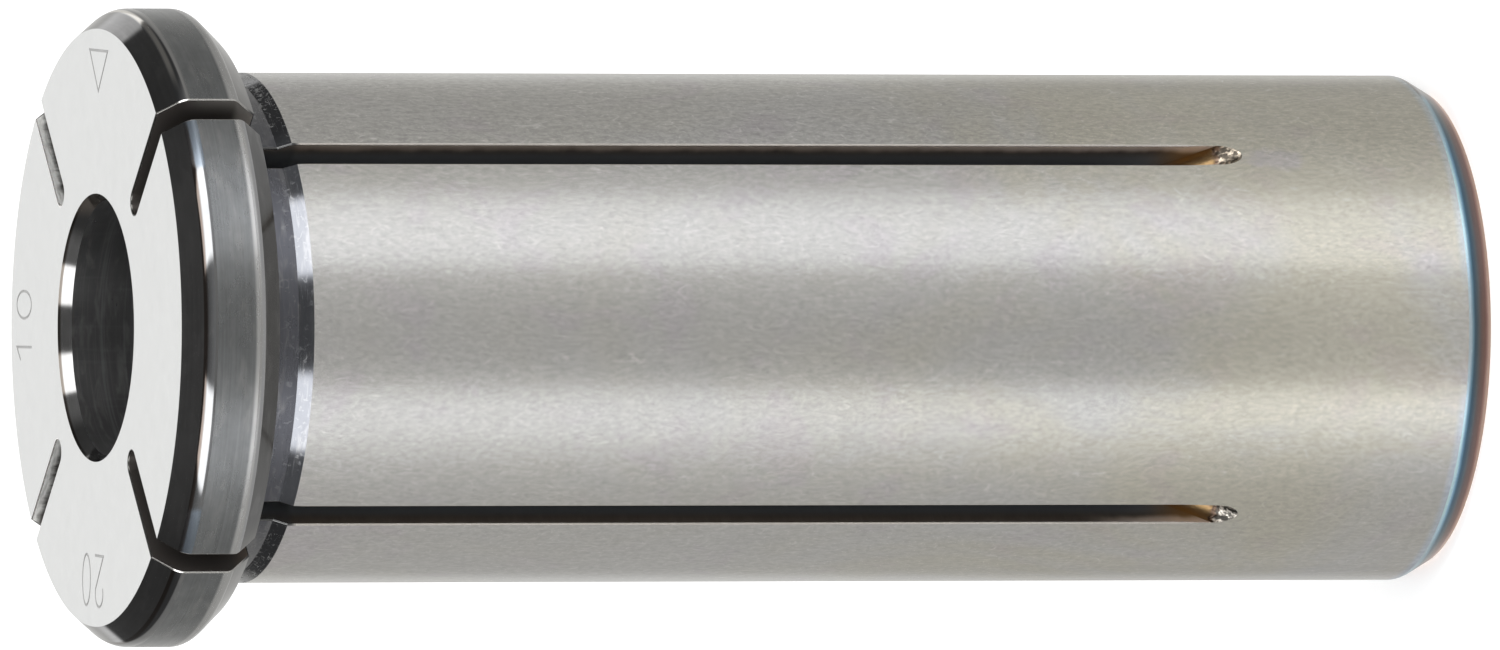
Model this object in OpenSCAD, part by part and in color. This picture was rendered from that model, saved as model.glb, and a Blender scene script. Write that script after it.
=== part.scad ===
// Slit reducing sleeve for a clamping chuck, turned, slit and ground from one piece of steel.
// Z is the axis. The sleeve stands on its rear end at z = 0, with the collar on top.

/* [Collar] */
// Radial height, above the shank, of the collar that stops the sleeve at the mouth of the chuck
collar_step = 2.5; // [2:0.1:6]
// Thickness of the collar
collar_t = 4; // [3:0.1:8]
// Radial depth of the chamfer round the front of the collar
front_chamfer_depth = 0.8; // [0.4:0.05:1.1]
// Length of the front chamfer along the axis
front_chamfer_len = 0.95; // [0.6:0.05:1.1]
// Radius of the polished edge between the front chamfer and the rim
front_edge_r = 0.8; // [0.1:0.05:1]
// Radial depth of the chamfer round the back of the collar
back_chamfer_depth = 0.85; // [0.4:0.05:1]
// Length of the back chamfer along the axis
back_chamfer_len = 0.9; // [0.6:0.05:1.1]
// Radius of the edge between the back chamfer and the rim
back_edge_r = 0.4; // [0.1:0.05:0.5]

/* [Shank] */
// Diameter of the ground shank that the chuck squeezes
shank_d = 20; // [18:0.5:22]
// Length under the collar, from its back face to the rear end
shank_len = 50.5; // [40:0.5:80]
// Length of the chamfer at the rear end, along the axis
end_chamfer_len = 1; // [0.5:0.1:2]
// Angle of that chamfer to the axis
end_chamfer_angle = 30; // [15:1:45]
// Radius of the polished edge between the shank and its end chamfer
end_edge_r = 0.4; // [0.1:0.05:0.5]

/* [Relief groove] */
// Radial depth of the groove behind the collar that the grinding wheel runs out into
groove_depth = 0.25; // [0.1:0.05:0.5]
// Width of the floor of the groove
groove_w = 1.35; // [0.6:0.05:3]
// Length of the cone that leads from the floor of the groove up to the shank
groove_cone_len = 0.55; // [0.3:0.05:1]
// Radius that the tip of the turning tool left between the groove and the back of the collar
groove_corner_r = 0.3; // [0.1:0.05:0.5]

/* [Bore] */
// Diameter of the bore that holds the tool
bore_d = 10; // [6:0.5:10.5]
// Radial depth of the lead-in at the mouth of the bore
mouth_depth = 0.25; // [0.1:0.05:0.5]
// Length of the lead-in along the axis
mouth_len = 0.5; // [0.2:0.05:1.5]
// Chamfer at the rear end of the bore
tail_chamfer = 0.5; // [0.2:0.05:1]

/* [Slits] */
// Number of slits round the sleeve
slit_count = 4; // [3:1:6]
// Width of each slit
slit_w = 1; // [0.5:0.05:1.5]
// Solid wall left between the floor of a slit and the bore, which keeps coolant in the bore
slit_web = 1.7; // [1.2:0.1:2.5]
// Length of the whole ring left at the rear end, behind the tips of the slits
whole_ring_len = 9.65; // [5:0.05:20]
// Diameter of the round-edged saw that cut the slits and ran out at their tips
saw_d = 40; // [30:1:63]
// Angle of the first slit from +X
slit_start_angle = 45; // [0:5:90]

/* [Hidden] */
$fn = 96;

total_len = shank_len + collar_t;
shank_r = shank_d / 2;
collar_r = shank_r + collar_step;
bore_r = bore_d / 2;
end_chamfer_depth = end_chamfer_len * tan(end_chamfer_angle);
groove_r = shank_r - groove_depth;
groove_floor_z = shank_len - groove_w;
groove_cone_z = groove_floor_z - groove_cone_len;

// The saw turns about an axis square to the slit, a saw radius out from the slit's floor.
slit_floor_r = bore_r + slit_web;
saw_r = saw_d / 2;
saw_axis_r = slit_floor_r + saw_r;
saw_run_out = sqrt(saw_r ^ 2 - (saw_axis_r - shank_r) ^ 2);
saw_axis_z = whole_ring_len + saw_run_out;

// How far a cutter stands proud of a face that it cuts through
past_face = 1;

// Corners of half the section as [radius, z, rounding], from the rear end round to the front.
SECTION = [
    [bore_r + tail_chamfer, 0, 0],
    [shank_r - end_chamfer_depth, 0, 0],
    [shank_r, end_chamfer_len, end_edge_r],
    [shank_r, groove_cone_z, 0],
    [groove_r, groove_floor_z, 0],
    [groove_r, shank_len, groove_corner_r],
    [collar_r - back_chamfer_depth, shank_len, 0],
    [collar_r, shank_len + back_chamfer_len, back_edge_r],
    [collar_r, total_len - front_chamfer_len, front_edge_r],
    [collar_r - front_chamfer_depth, total_len, 0],
    [bore_r + mouth_depth, total_len, 0],
    [bore_r, total_len - mouth_len, 0],
    [bore_r, tail_chamfer, 0]
];

function corner(i) = let (c = SECTION[(i + len(SECTION)) % len(SECTION)]) [c[0], c[1]];
function rounding(i) = SECTION[i][2];
function direction(from, to) = (to - from) / norm(to - from);
function half_angle(i) =
    acos(direction(corner(i), corner(i - 1)) * direction(corner(i), corner(i + 1))) / 2;
function stands_out(i) = cross(corner(i) - corner(i - 1), corner(i + 1) - corner(i)) > 0;
// Where the arc at corner i meets the side that runs to corner j
function tangent_point(i, j) =
    corner(i) + direction(corner(i), corner(j)) * rounding(i) / tan(half_angle(i));
function arc_centre(i) =
    let (middle = (tangent_point(i, i - 1) + tangent_point(i, i + 1)) / 2)
    corner(i) + direction(corner(i), middle) * rounding(i) / sin(half_angle(i));

// The arcs at the rounded corners that stand out, or at those that lie in a hollow
module arcs(out) {
    for (i = [0 : len(SECTION) - 1])
        if (rounding(i) > 0 && stands_out(i) == out)
            translate(arc_centre(i)) circle(r = rounding(i));
}

// Half the section of the turned body
module half_section() {
    difference() {
        union() {
            polygon([
                for (i = [0 : len(SECTION) - 1])
                    each rounding(i) > 0
                        ? [tangent_point(i, i - 1), tangent_point(i, i + 1)]
                        : [corner(i)]
            ]);
            arcs(out = true);
        }
        arcs(out = false);
    }
}

module turned_body() {
    rotate_extrude() half_section();
}

// Section of the saw's cut: a half-round floor that touches x = 0, and straight sides to x = depth
module cut_section(depth) {
    translate([slit_w / 2, 0]) circle(d = slit_w);
    translate([slit_w / 2, -slit_w / 2]) square([depth - slit_w / 2, slit_w]);
}

// The saw's straight path, from the front face to where it stopped
module saw_path() {
    translate([slit_floor_r, 0, saw_axis_z])
        linear_extrude(height = total_len - saw_axis_z + past_face)
            cut_section(collar_r - slit_floor_r + past_face);
}

// The saw where it stopped, which shapes the run-out at the tip of the slit
module saw_blade() {
    translate([saw_axis_r, 0, saw_axis_z])
        rotate([90, 0, 0])
            rotate_extrude()
                translate([saw_r, 0]) mirror([1, 0]) cut_section(saw_r);
}

module slits() {
    for (i = [0 : slit_count - 1])
        rotate([0, 0, slit_start_angle + i * 360 / slit_count]) {
            saw_path();
            saw_blade();
        }
}

module sleeve() {
    color("lightslategray")
        difference() {
            turned_body();
            slits();
        }
}

sleeve();
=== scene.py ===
"""Dresses the slit reducing sleeve, turned, slit and ground from one piece of steel.

Lengths are in metres, and in the finishes in millimetres. Z is the axis, and the sleeve stands on its
rear end at z = 0.
"""

from __future__ import annotations

import logging
import math
from collections.abc import Iterator, Mapping
from dataclasses import dataclass
from enum import Enum

import bmesh
import bpy
import numpy as np
from mathutils import Matrix, Vector
from mathutils.geometry import delaunay_2d_cdt


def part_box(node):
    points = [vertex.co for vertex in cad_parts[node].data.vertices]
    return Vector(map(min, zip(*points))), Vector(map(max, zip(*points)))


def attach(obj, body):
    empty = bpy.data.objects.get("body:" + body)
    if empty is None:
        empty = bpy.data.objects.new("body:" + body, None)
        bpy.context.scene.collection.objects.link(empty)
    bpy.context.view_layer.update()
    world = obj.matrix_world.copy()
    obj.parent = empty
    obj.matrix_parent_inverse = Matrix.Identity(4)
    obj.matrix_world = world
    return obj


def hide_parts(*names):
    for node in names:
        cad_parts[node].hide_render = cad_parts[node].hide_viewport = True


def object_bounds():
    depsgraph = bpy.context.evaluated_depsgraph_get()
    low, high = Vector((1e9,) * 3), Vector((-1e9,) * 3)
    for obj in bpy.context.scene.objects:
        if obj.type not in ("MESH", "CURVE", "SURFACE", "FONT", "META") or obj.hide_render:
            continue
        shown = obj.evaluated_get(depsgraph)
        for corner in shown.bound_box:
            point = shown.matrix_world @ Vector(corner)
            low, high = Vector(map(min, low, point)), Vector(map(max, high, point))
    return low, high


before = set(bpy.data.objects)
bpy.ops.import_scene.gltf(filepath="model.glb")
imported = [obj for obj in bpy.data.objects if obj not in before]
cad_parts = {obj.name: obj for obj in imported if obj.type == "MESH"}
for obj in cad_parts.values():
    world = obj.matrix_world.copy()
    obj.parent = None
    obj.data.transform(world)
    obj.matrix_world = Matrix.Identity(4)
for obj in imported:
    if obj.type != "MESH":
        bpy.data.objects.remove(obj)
CAD_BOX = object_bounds()

MM = 0.001
MICRON = 0.001 * MM
SAME_POINT = 0.2 * MICRON
LOG = logging.getLogger("sleeve")
Colour = tuple[float, float, float]
Triple = tuple[float, float, float]
Span = tuple[float, float]
Band = tuple[float, float, float]


class Zone(Enum):
    """The surfaces of the sleeve, named for what they do."""

    REAR_END = "rear end"
    END_CHAMFER = "end chamfer"
    END_EDGE = "end edge"
    SHANK = "shank"
    CONE = "cone out of the relief groove"
    GROOVE = "floor of the relief groove"
    GROOVE_CORNER = "corner of the relief groove"
    COLLAR_BACK = "back of the collar"
    BACK_CHAMFER = "back chamfer"
    BACK_EDGE = "back edge of the rim"
    RIM = "rim"
    FRONT_EDGE = "front edge of the rim"
    FRONT_CHAMFER = "front chamfer"
    FACE = "front face"
    MOUTH = "mouth of the bore"
    BORE = "bore"
    TAIL = "rear end of the bore"
    SLIT_EDGE = "broken edge of a slit"
    SLIT_WALL = "wall of a slit"
    SLIT_FLOOR = "floor of a slit"
    RUN_OUT = "run-out of the saw"
    MARK = "engraved line"


# Shader maths


class Signal:
    """What one socket gives: a number, a colour or a vector that varies over a surface."""

    def __init__(self, tree: Tree, socket: bpy.types.NodeSocket) -> None:
        """Keeps the socket and the tree that it belongs to."""
        self.tree = tree
        self.socket = socket

    def __add__(self, other: Feed) -> Signal:
        """The sum with another number."""
        return self.tree.math("ADD", self, other)

    def __sub__(self, other: Feed) -> Signal:
        """The difference from another number."""
        return self.tree.math("SUBTRACT", self, other)

    def __rsub__(self, other: Feed) -> Signal:
        """A plain number less this one."""
        return self.tree.math("SUBTRACT", other, self)

    def __mul__(self, other: Feed) -> Signal:
        """The product with another number."""
        return self.tree.math("MULTIPLY", self, other)

    def __truediv__(self, other: Feed) -> Signal:
        """This number over another."""
        return self.tree.math("DIVIDE", self, other)

    __radd__ = __add__
    __rmul__ = __mul__

    def size(self) -> Signal:
        """The number without its sign."""
        return self.tree.math("ABSOLUTE", self, 0.0)

    def rise(self, start: float, full: float) -> Signal:
        """Goes smoothly from 0 to 1, as the number rises or falls from one value to another.

        Args:
            start: The value at which it is 0.
            full: The value at which it is 1.

        Returns:
            The share of the rise, from 0 to 1.
        """
        settings = {"interpolation_type": "SMOOTHSTEP"}
        return self.tree.signal("ShaderNodeMapRange", settings, {0: self, 1: start, 2: full})

    def band(self, low: float, high: float, fade: float) -> Signal:
        """Is 1 between two values and 0 outside them, with soft ends.

        Args:
            low: The lower end of the band.
            high: The upper end of the band.
            fade: The width over which each end fades.

        Returns:
            The share of the band, from 0 to 1.
        """
        half = fade / 2
        return self.rise(low - half, low + half) * self.rise(high + half, high - half)


Feed = Signal | float | tuple


class Tree:
    """The nodes of one finish, or of the studio."""

    def __init__(self, owner: bpy.types.Material | bpy.types.World) -> None:
        """Empties the owner's nodes and takes them over.

        Args:
            owner: What the nodes belong to.
        """
        owner.use_nodes = True
        self.nodes = owner.node_tree.nodes
        self.links = owner.node_tree.links
        self.nodes.clear()

    def node(
        self, kind: str, settings: Mapping[str, object], sockets: Mapping[object, Feed]
    ) -> bpy.types.Node:
        """Adds a node.

        Args:
            kind: The node's type.
            settings: Its own settings, and under "stops" those of a ramp as (place, colour).
            sockets: What each of its inputs takes, a value or the signal to link.

        Returns:
            The new node.
        """
        made = self.nodes.new(kind)
        for name, value in settings.items():
            if name == "stops":
                self._set_stops(made.color_ramp, value)
            else:
                setattr(made, name, value)
        for key, feed in sockets.items():
            if isinstance(feed, Signal):
                self.links.new(feed.socket, made.inputs[key])
            else:
                made.inputs[key].default_value = feed
        return made

    def signal(
        self,
        kind: str,
        settings: Mapping[str, object],
        sockets: Mapping[object, Feed],
        output: int | str = 0,
    ) -> Signal:
        """Adds a node as node() does, and gives the signal of one of its outputs."""
        return Signal(self, self.node(kind, settings, sockets).outputs[output])

    def _set_stops(self, ramp: bpy.types.ColorRamp, stops: list[tuple[float, Colour]]) -> None:
        """Gives a ramp its stops.

        Args:
            ramp: The ramp of a new node, which has two stops.
            stops: The stops' places and colours, in rising order.
        """
        for place, _ in stops[2:]:
            ramp.elements.new(place)
        for element, (place, colour) in zip(ramp.elements, stops):
            element.position = place
            element.color = (*colour, 1.0)

    def math(self, operation: str, left: Feed, right: Feed) -> Signal:
        """One step of arithmetic on numbers."""
        return self.signal("ShaderNodeMath", {"operation": operation}, {0: left, 1: right})

    def vector(self, operation: str, left: Feed, right: Feed) -> Signal:
        """One step of arithmetic on vectors that gives a vector."""
        return self.signal("ShaderNodeVectorMath", {"operation": operation}, {0: left, 1: right})

    def length(self, vector: Signal) -> Signal:
        """The length of a vector."""
        return self.signal("ShaderNodeVectorMath", {"operation": "LENGTH"}, {0: vector}, "Value")

    def dot(self, left: Signal, right: Vector) -> Signal:
        """How far one vector reaches along another."""
        sockets = {0: left, 1: right}
        return self.signal("ShaderNodeVectorMath", {"operation": "DOT_PRODUCT"}, sockets, "Value")

    def ray(self, kind: str) -> Signal:
        """Is 1 for rays of a kind, such as "Is Camera Ray", and 0 for others."""
        return self.signal("ShaderNodeLightPath", {}, {}, kind)

    def mix(self, share: Feed, first: Feed, second: Feed, blend: str = "MIX") -> Signal:
        """Mixes two colours.

        Args:
            share: How much of the second colour is mixed in.
            first: The colour at a share of 0.
            second: The colour at a share of 1.
            blend: The way in which the second colour acts on the first.

        Returns:
            The mixed colour.
        """
        colours = [feed if isinstance(feed, Signal) else (*feed, 1.0) for feed in (first, second)]
        settings = {"data_type": "RGBA", "blend_type": blend}
        return self.signal("ShaderNodeMix", settings, {0: share, 6: colours[0], 7: colours[1]}, 2)

    def grey(self, level: Feed) -> Signal:
        """A number as a grey."""
        return self.signal("ShaderNodeCombineColor", {}, {0: level, 1: level, 2: level})

    def shade(self, colour: Feed, level: Signal) -> Signal:
        """A colour made lighter or darker, by a level that leaves it alone at 1."""
        return self.mix(1.0, colour, self.grey(level), "MULTIPLY")


@dataclass(frozen=True)
class Grain:
    """The make-up of one cloudy noise.

    The stretch is in grains per millimetre along X, Y and Z. The detail is how many finer layers are
    added, the harshness how strong each of them is, and the warp how far the noise bends itself. The
    start is where in the noise the sleeve lies, so that two noises differ. The lean turns the noise
    about Y, in degrees. The span holds the values at which the noise's patches start and are full, and
    thin is half the width of the hairs that run in its middle value.
    """

    stretch: Triple
    detail: float = 2.0
    harshness: float = 0.5
    warp: float = 0.0
    start: float = 0.0
    lean: float = 0.0
    span: Span = (0.3, 0.7)
    thin: float = 0.02


class Place:
    """Where a point of the sleeve is, in millimetres from the middle of its rear end."""

    GAPS_FINER = 2.2
    GAPS_START = 31.0
    GAPS_SPAN = (0.52, 0.6)

    def __init__(self, tree: Tree) -> None:
        """Reads the point from the mesh's own coordinates.

        Args:
            tree: The nodes of the finish.
        """
        self.tree = tree
        point = tree.signal("ShaderNodeTexCoord", {}, {}, "Object")
        self.point = tree.vector("MULTIPLY", point, (1 / MM, 1 / MM, 1 / MM))
        parts = tree.node("ShaderNodeSeparateXYZ", {}, {0: self.point})
        self.x, self.y, self.z = (Signal(tree, output) for output in parts.outputs)
        self.aside = self.x.size()
        self.radius = tree.length(tree.vector("MULTIPLY", self.point, (1.0, 1.0, 0.0)))
        self.depth = CAD_BOX[1][2] / MM - self.z

    def noise(self, grain: Grain) -> Signal:
        """Cloudy noise with its own grain size along each axis.

        Args:
            grain: The noise's make-up.

        Returns:
            The noise, mostly between 0.3 and 0.7.
        """
        point = self.point
        if grain.lean:
            sockets = {"Vector": point, "Angle": math.radians(grain.lean)}
            point = self.tree.signal("ShaderNodeVectorRotate", {"rotation_type": "Y_AXIS"}, sockets)
        point = self.tree.vector("MULTIPLY", point, grain.stretch)
        if grain.start:
            point = self.tree.vector("ADD", point, (grain.start, -grain.start, grain.start / 2))
        sockets = {
            "Vector": point,
            "Scale": 1.0,
            "Detail": grain.detail,
            "Roughness": grain.harshness,
            "Distortion": grain.warp,
        }
        return self.tree.signal("ShaderNodeTexNoise", {"noise_dimensions": "3D"}, sockets)

    def sway(self, grain: Grain) -> Signal:
        """Noise that wanders about 0."""
        return self.noise(grain) - 0.5

    def patches(self, grain: Grain) -> Signal:
        """Soft-edged patches of a noise, from 0 outside them to 1 inside."""
        return self.noise(grain).rise(*grain.span)

    def hairs(self, grain: Grain) -> Signal:
        """Thin wandering lines, broken into short lengths by the patches of a finer noise.

        Args:
            grain: The noise in whose middle value the lines run.

        Returns:
            1 in the middle of a line and 0 away from it.
        """
        finer = tuple(self.GAPS_FINER * stretch for stretch in grain.stretch)
        gaps = Grain(finer, detail=1.0, start=grain.start + self.GAPS_START, span=self.GAPS_SPAN)
        return self.sway(grain).size().rise(grain.thin, 0.0) * self.patches(gaps)


@dataclass(frozen=True)
class Area:
    """A soft-edged area of the sleeve's surface.

    Each measure that it names goes from the value at which the area starts to the one at which it is
    full. Aside is the distance from the plane of Y and Z, and depth is measured below the front face.
    """

    share: float = 1.0
    x: Span | None = None
    y: Span | None = None
    z: Span | None = None
    aside: Span | None = None
    radius: Span | None = None
    depth: Span | None = None
    patches: Grain | None = None

    def at(self, place: Place) -> Signal:
        """How much of the area's share each point has.

        Args:
            place: The point of the sleeve.

        Returns:
            0 outside the area, and its share where it is full.
        """
        measures = (place.x, place.y, place.z, place.aside, place.radius, place.depth)
        spans = (self.x, self.y, self.z, self.aside, self.radius, self.depth)
        rises = [measure.rise(*span) for measure, span in zip(measures, spans) if span]
        if self.patches:
            rises.append(place.patches(self.patches))
        found = rises[0]
        for rise in rises[1:]:
            found = found * rise
        return found * self.share


# Finishes


@dataclass(frozen=True)
class Finish:
    """What the last operation left on a surface: bare steel with its grain.

    The lay is the grains of its marks per millimetre along X, Y and Z, and their depth is in
    micrometres. Mottle and fresh are how far the colour and the roughness vary, and turn is how far
    the marks' highlight is turned, as a share of a full turn.
    """

    name: str
    colour: Colour
    roughness: float
    anisotropy: float = 0.0
    lay: Triple = (0.12, 0.12, 14.0)
    marks_depth: float = 0.5
    mottle: float = 0.06
    fresh: float = 0.05
    metallic: float = 1.0
    turn: float = 0.25
    cloud: Grain = Grain((1.1, 1.1, 1.6), 4.0, 0.6, 0.2, 5.0)
    patch: Grain = Grain((0.6, 0.6, 0.9), 4.0, 0.6, 0.3, 17.0)

    def marks(self, detail: float, harshness: float, start: float) -> Grain:
        """A noise with the grain of the lay."""
        return Grain(self.lay, detail, harshness, start=start)

    def paint(self, place: Place) -> Signal:
        """The plain colour, mottled and streaked along the lay.

        Args:
            place: The point of the sleeve.

        Returns:
            The colour over the surface.
        """
        varied = place.sway(self.cloud) + place.sway(self.marks(detail=2.0, harshness=0.6, start=9.0))
        return place.tree.shade(self.colour, 1.0 + varied * (2 * self.mottle))

    def roughen(self, place: Place) -> Signal:
        """The roughness, patchy and streaked along the lay.

        Args:
            place: The point of the sleeve.

        Returns:
            The roughness over the surface.
        """
        streak = place.sway(self.marks(detail=2.0, harshness=0.5, start=23.0))
        return self.roughness + place.sway(self.patch) * (2 * self.fresh) + streak * self.fresh

    def relief(self, place: Place) -> Signal:
        """The height of the marks over the surface, as a share of their depth."""
        return place.noise(self.marks(detail=3.0, harshness=0.6, start=3.0))

    def make(self) -> bpy.types.Material:
        """Makes the material.

        Returns:
            The finished material.
        """
        material = bpy.data.materials.new(self.name)
        tree = Tree(material)
        place = Place(tree)
        relief = {"Strength": 1.0, "Distance": self.marks_depth * MICRON, "Height": self.relief(place)}
        sockets = {
            "Base Color": self.paint(place),
            "Metallic": self.metallic,
            "Roughness": self.roughen(place),
            "Anisotropic": self.anisotropy,
            "Anisotropic Rotation": self.turn,
            "Normal": tree.signal("ShaderNodeBump", {}, relief),
        }
        steel = tree.signal("ShaderNodeBsdfPrincipled", {}, sockets)
        tree.node("ShaderNodeOutputMaterial", {}, {"Surface": steel})
        return material


@dataclass(frozen=True)
class GroundShank(Finish):
    """The cylindrically ground shank, with the scuffs of handling."""

    straw: Colour = (1.0, 0.975, 0.87)
    straw_patches: Grain = Grain((0.1, 0.1, 0.07), 4.0, 0.6, 0.6, 40.0, span=(0.4, 0.62))
    straw_rear: Area = Area(0.75, z=(32.0, 14.0))
    straw_front: float = 0.25
    violet: Colour = (0.985, 0.955, 1.0)
    violet_area: Area = Area(0.8, patches=Grain((0.4, 0.4, 0.3), 3.0, 0.55, 0.5, 44.0, span=(0.52, 0.68)))
    stain: Colour = (0.97, 0.96, 1.09)
    stain_share: float = 0.9
    stain_at: Triple = (6.95, -7.2, 8.3)
    stain_squeeze: Triple = (1.4, 1.4, 0.75)
    stain_reach: Span = (1.1, 0.4)
    stain_ragged: float = 1.6
    stain_blur: Grain = Grain((1.2, 1.2, 0.9), 3.0, 0.6, 0.3, 47.0)
    heat: Colour = (0.97, 1.08, 1.27)
    heated: Area = Area(z=(1.5, 1.12), aside=(0.5, 4.0))
    glare: Band = (2.4, 5.2, 0.8)
    sparkle: Grain = Grain((4.5, 4.5, 3.4), 3.0, 0.75, start=91.0)
    sparkle_share: float = 0.055
    glare_calm: float = 0.6
    leather: Grain = Grain((3.4, 2.4, 1.3), 4.0, 0.6, 1.0, lean=-32.0)
    strokes: Grain = Grain((6.0, 6.0, 1.0), 3.0, 0.6, 0.3, 65.0)
    rubs: Grain = Grain((4.5, 0.4, 0.16), 2.0, 0.6, lean=42.0, span=(0.58, 0.72))
    rubbed: Grain = Grain((0.16, 0.16, 0.1), start=75.0, span=(0.46, 0.56))
    rubs_share: float = 0.05
    speckle: Grain = Grain((7.0, 7.0, 3.5), 3.0, 0.75, start=57.0)
    speckle_share: float = 0.45
    waves_share: float = 0.26
    waves_calm: float = 0.12
    upper: Area = Area(x=(5.5, 7.5))
    upper_front: Area = Area(0.5, z=(14.0, 24.0))
    upper_rear: float = 0.5
    upper_scuffs: float = 0.8
    # Painted sparkle: extra speckle contrast where the lamps are mirrored.
    painted_glare_sparkle: float = 0.25
    # Painted light and shade, strongest towards the rear end: lighter on the +X side, darker near both
    # sides along X, and lighter along the middle between them.
    painted_light_and_shade: tuple[Area, ...] = (
        Area(0.12, x=(4.5, 7.5), z=(24.0, 11.0)),
        Area(-0.25, aside=(9.1, 9.8), z=(28.0, 13.0)),
        Area(0.2, aside=(4.5, 1.5), z=(17.0, 4.0)),
    )
    scratch: Colour = (0.9, 0.89, 0.87)
    scratches: Grain = Grain((1.3, 1.3, 0.6), 1.0, 0.4, 0.1, 71.0, thin=0.013)
    scratch_share: float = 0.25
    pits: Grain = Grain((5.5, 5.5, 5.5), 3.0, 0.7, start=88.0)
    lay_height: float = 0.15
    pits_height: float = 0.6
    waves_height: float = 0.24
    rubs_height: float = 0.1
    scratch_height: float = 0.2

    def _glare(self, place: Place) -> Signal:
        """Where the lamps are mirrored and the grain shows most, on both sides."""
        return place.aside.band(*self.glare)

    def _waves(self, place: Place) -> Signal:
        """Short wavy scuffs, like the grain of leather, and strokes along the axis."""
        return (place.noise(self.leather) + place.noise(self.strokes)) * 0.5

    def _rubs(self, place: Place) -> Signal:
        """Faint straight scratches that run askew to the axis."""
        return place.patches(self.rubs) * place.patches(self.rubbed)

    def _scratches(self, place: Place) -> Signal:
        """Fine scratches that wander along the shank."""
        return place.hairs(self.scratches)

    def _stained(self, place: Place) -> Signal:
        """The small heat stain ahead of the tip of one slit, where the saw dwelt.

        Args:
            place: The point of the sleeve.

        Returns:
            The strength of the stain.
        """
        away = place.tree.vector("SUBTRACT", place.point, self.stain_at)
        away = place.tree.length(place.tree.vector("MULTIPLY", away, self.stain_squeeze))
        away = away + place.sway(self.stain_blur) * self.stain_ragged
        return away.rise(*self.stain_reach) * self.stain_share

    def roughen(self, place: Place) -> Signal:
        """The roughness, with a fine sparkle that shows where a lamp is mirrored.

        Args:
            place: The point of the sleeve.

        Returns:
            The roughness over the surface.
        """
        patch = place.sway(self.patch) * self.fresh * (1.0 - self._glare(place) * self.glare_calm)
        return self.roughness + patch + place.sway(self.sparkle) * self.sparkle_share

    def paint(self, place: Place) -> Signal:
        """Ground steel with straw and violet tints, a fine sparkle, faint scuffs, and painted light and
        shade.

        Args:
            place: The point of the sleeve.

        Returns:
            The colour over the surface.
        """
        tree = place.tree
        straw = place.patches(self.straw_patches) * (self.straw_front + self.straw_rear.at(place))
        plain = tree.mix(straw, super().paint(place), self.straw, "MULTIPLY")
        plain = tree.mix(self.violet_area.at(place), plain, self.violet, "MULTIPLY")
        plain = tree.mix(self._stained(place), plain, self.stain, "MULTIPLY")
        plain = tree.mix(self.heated.at(place), plain, self.heat, "MULTIPLY")
        upper = self.upper.at(place) * (self.upper_rear + self.upper_front.at(place))
        glare = self._glare(place)
        # Painted sparkle: where the lamps are mirrored, the speckle's contrast is raised and the wavy
        # scuffs are calmed.
        waves = (self._waves(place) - 0.5) * (self.waves_share - glare * self.waves_calm)
        scuffs = place.sway(self.speckle) * self.speckle_share + waves
        scuffs = scuffs * (1.0 + upper * self.upper_scuffs + glare * self.painted_glare_sparkle)
        level = 1.0 + scuffs + self._rubs(place) * self.rubs_share
        # Painted light and shade: the areas above make the ground steel lighter or darker.
        for tone in self.painted_light_and_shade:
            level = level * (1.0 + tone.at(place))
        scratches = self._scratches(place) * (self.scratch_share + upper * self.scratch_share)
        return tree.mix(scratches, tree.shade(plain, level), self.scratch)

    def relief(self, place: Place) -> Signal:
        """Fine grinding lines, pits, wavy scuffs and scratches.

        Args:
            place: The point of the sleeve.

        Returns:
            The height of the marks, as a share of their depth.
        """
        ground = super().relief(place) * self.lay_height + place.noise(self.pits) * self.pits_height
        scuffs = self._waves(place) * self.waves_height + self._rubs(place) * self.rubs_height
        return ground + scuffs + self._scratches(place) * self.scratch_height


@dataclass(frozen=True)
class DarkSkin(Finish):
    """The dark scale that hardening left on turned steel, rubbed bright in places."""

    rubbed: Colour = (0.34, 0.335, 0.33)
    rubbed_area: Area = Area(0.3, patches=Grain((0.7, 0.7, 2.4), 3.0, 0.55, 0.4, 12.0, span=(0.5, 0.74)))

    def paint(self, place: Place) -> Signal:
        """Dark steel, lighter where it has been rubbed."""
        return place.tree.mix(self.rubbed_area.at(place), super().paint(place), self.rubbed)


@dataclass(frozen=True)
class NickedSkin(DarkSkin):
    """Dark scale in the relief groove, with bright nicks and scratches."""

    nick: Colour = (0.56, 0.56, 0.55)
    nick_rough: float = 0.9
    handled: Area = Area(aside=(6.8, 9.0))
    handled_rubbed: float = 0.3
    handled_least: float = 0.3
    around: Grain = Grain((0.5, 0.5, 6.0), 1.0, 0.4, 0.1, 83.0, thin=0.03)
    around_share: float = 0.3
    along: Grain = Grain((2.2, 2.2, 2.0), 1.0, 0.4, 0.5, 29.0, thin=0.05)
    along_share: float = 0.4
    curls: Area = Area(0.55, patches=Grain((3.4, 3.4, 2.6), 4.0, 0.75, 1.2, 43.0, span=(0.53, 0.66)))

    def _nicks(self, place: Place) -> Signal:
        """Fine scratches round the groove and curly ones across it, most of them where it is handled.

        Args:
            place: The point of the sleeve.

        Returns:
            The strength of the scratches.
        """
        handled = self.handled.at(place)
        hairs = place.hairs(self.around) * self.around_share + place.hairs(self.along) * self.along_share
        nicks = hairs + self.curls.at(place) * handled
        return nicks * (self.handled_least + handled * (1.0 - self.handled_least))

    def paint(self, place: Place) -> Signal:
        """Dark scale crossed by fine bright scratches.

        Args:
            place: The point of the sleeve.

        Returns:
            The colour over the surface.
        """
        handled = self.handled.at(place) * self.handled_rubbed
        plain = place.tree.mix(handled, super().paint(place), self.rubbed)
        return place.tree.mix(self._nicks(place), plain, self.nick)

    def roughen(self, place: Place) -> Signal:
        """Smooth scale, with scratches that catch light from all sides."""
        return super().roughen(place) + self._nicks(place) * self.nick_rough


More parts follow.
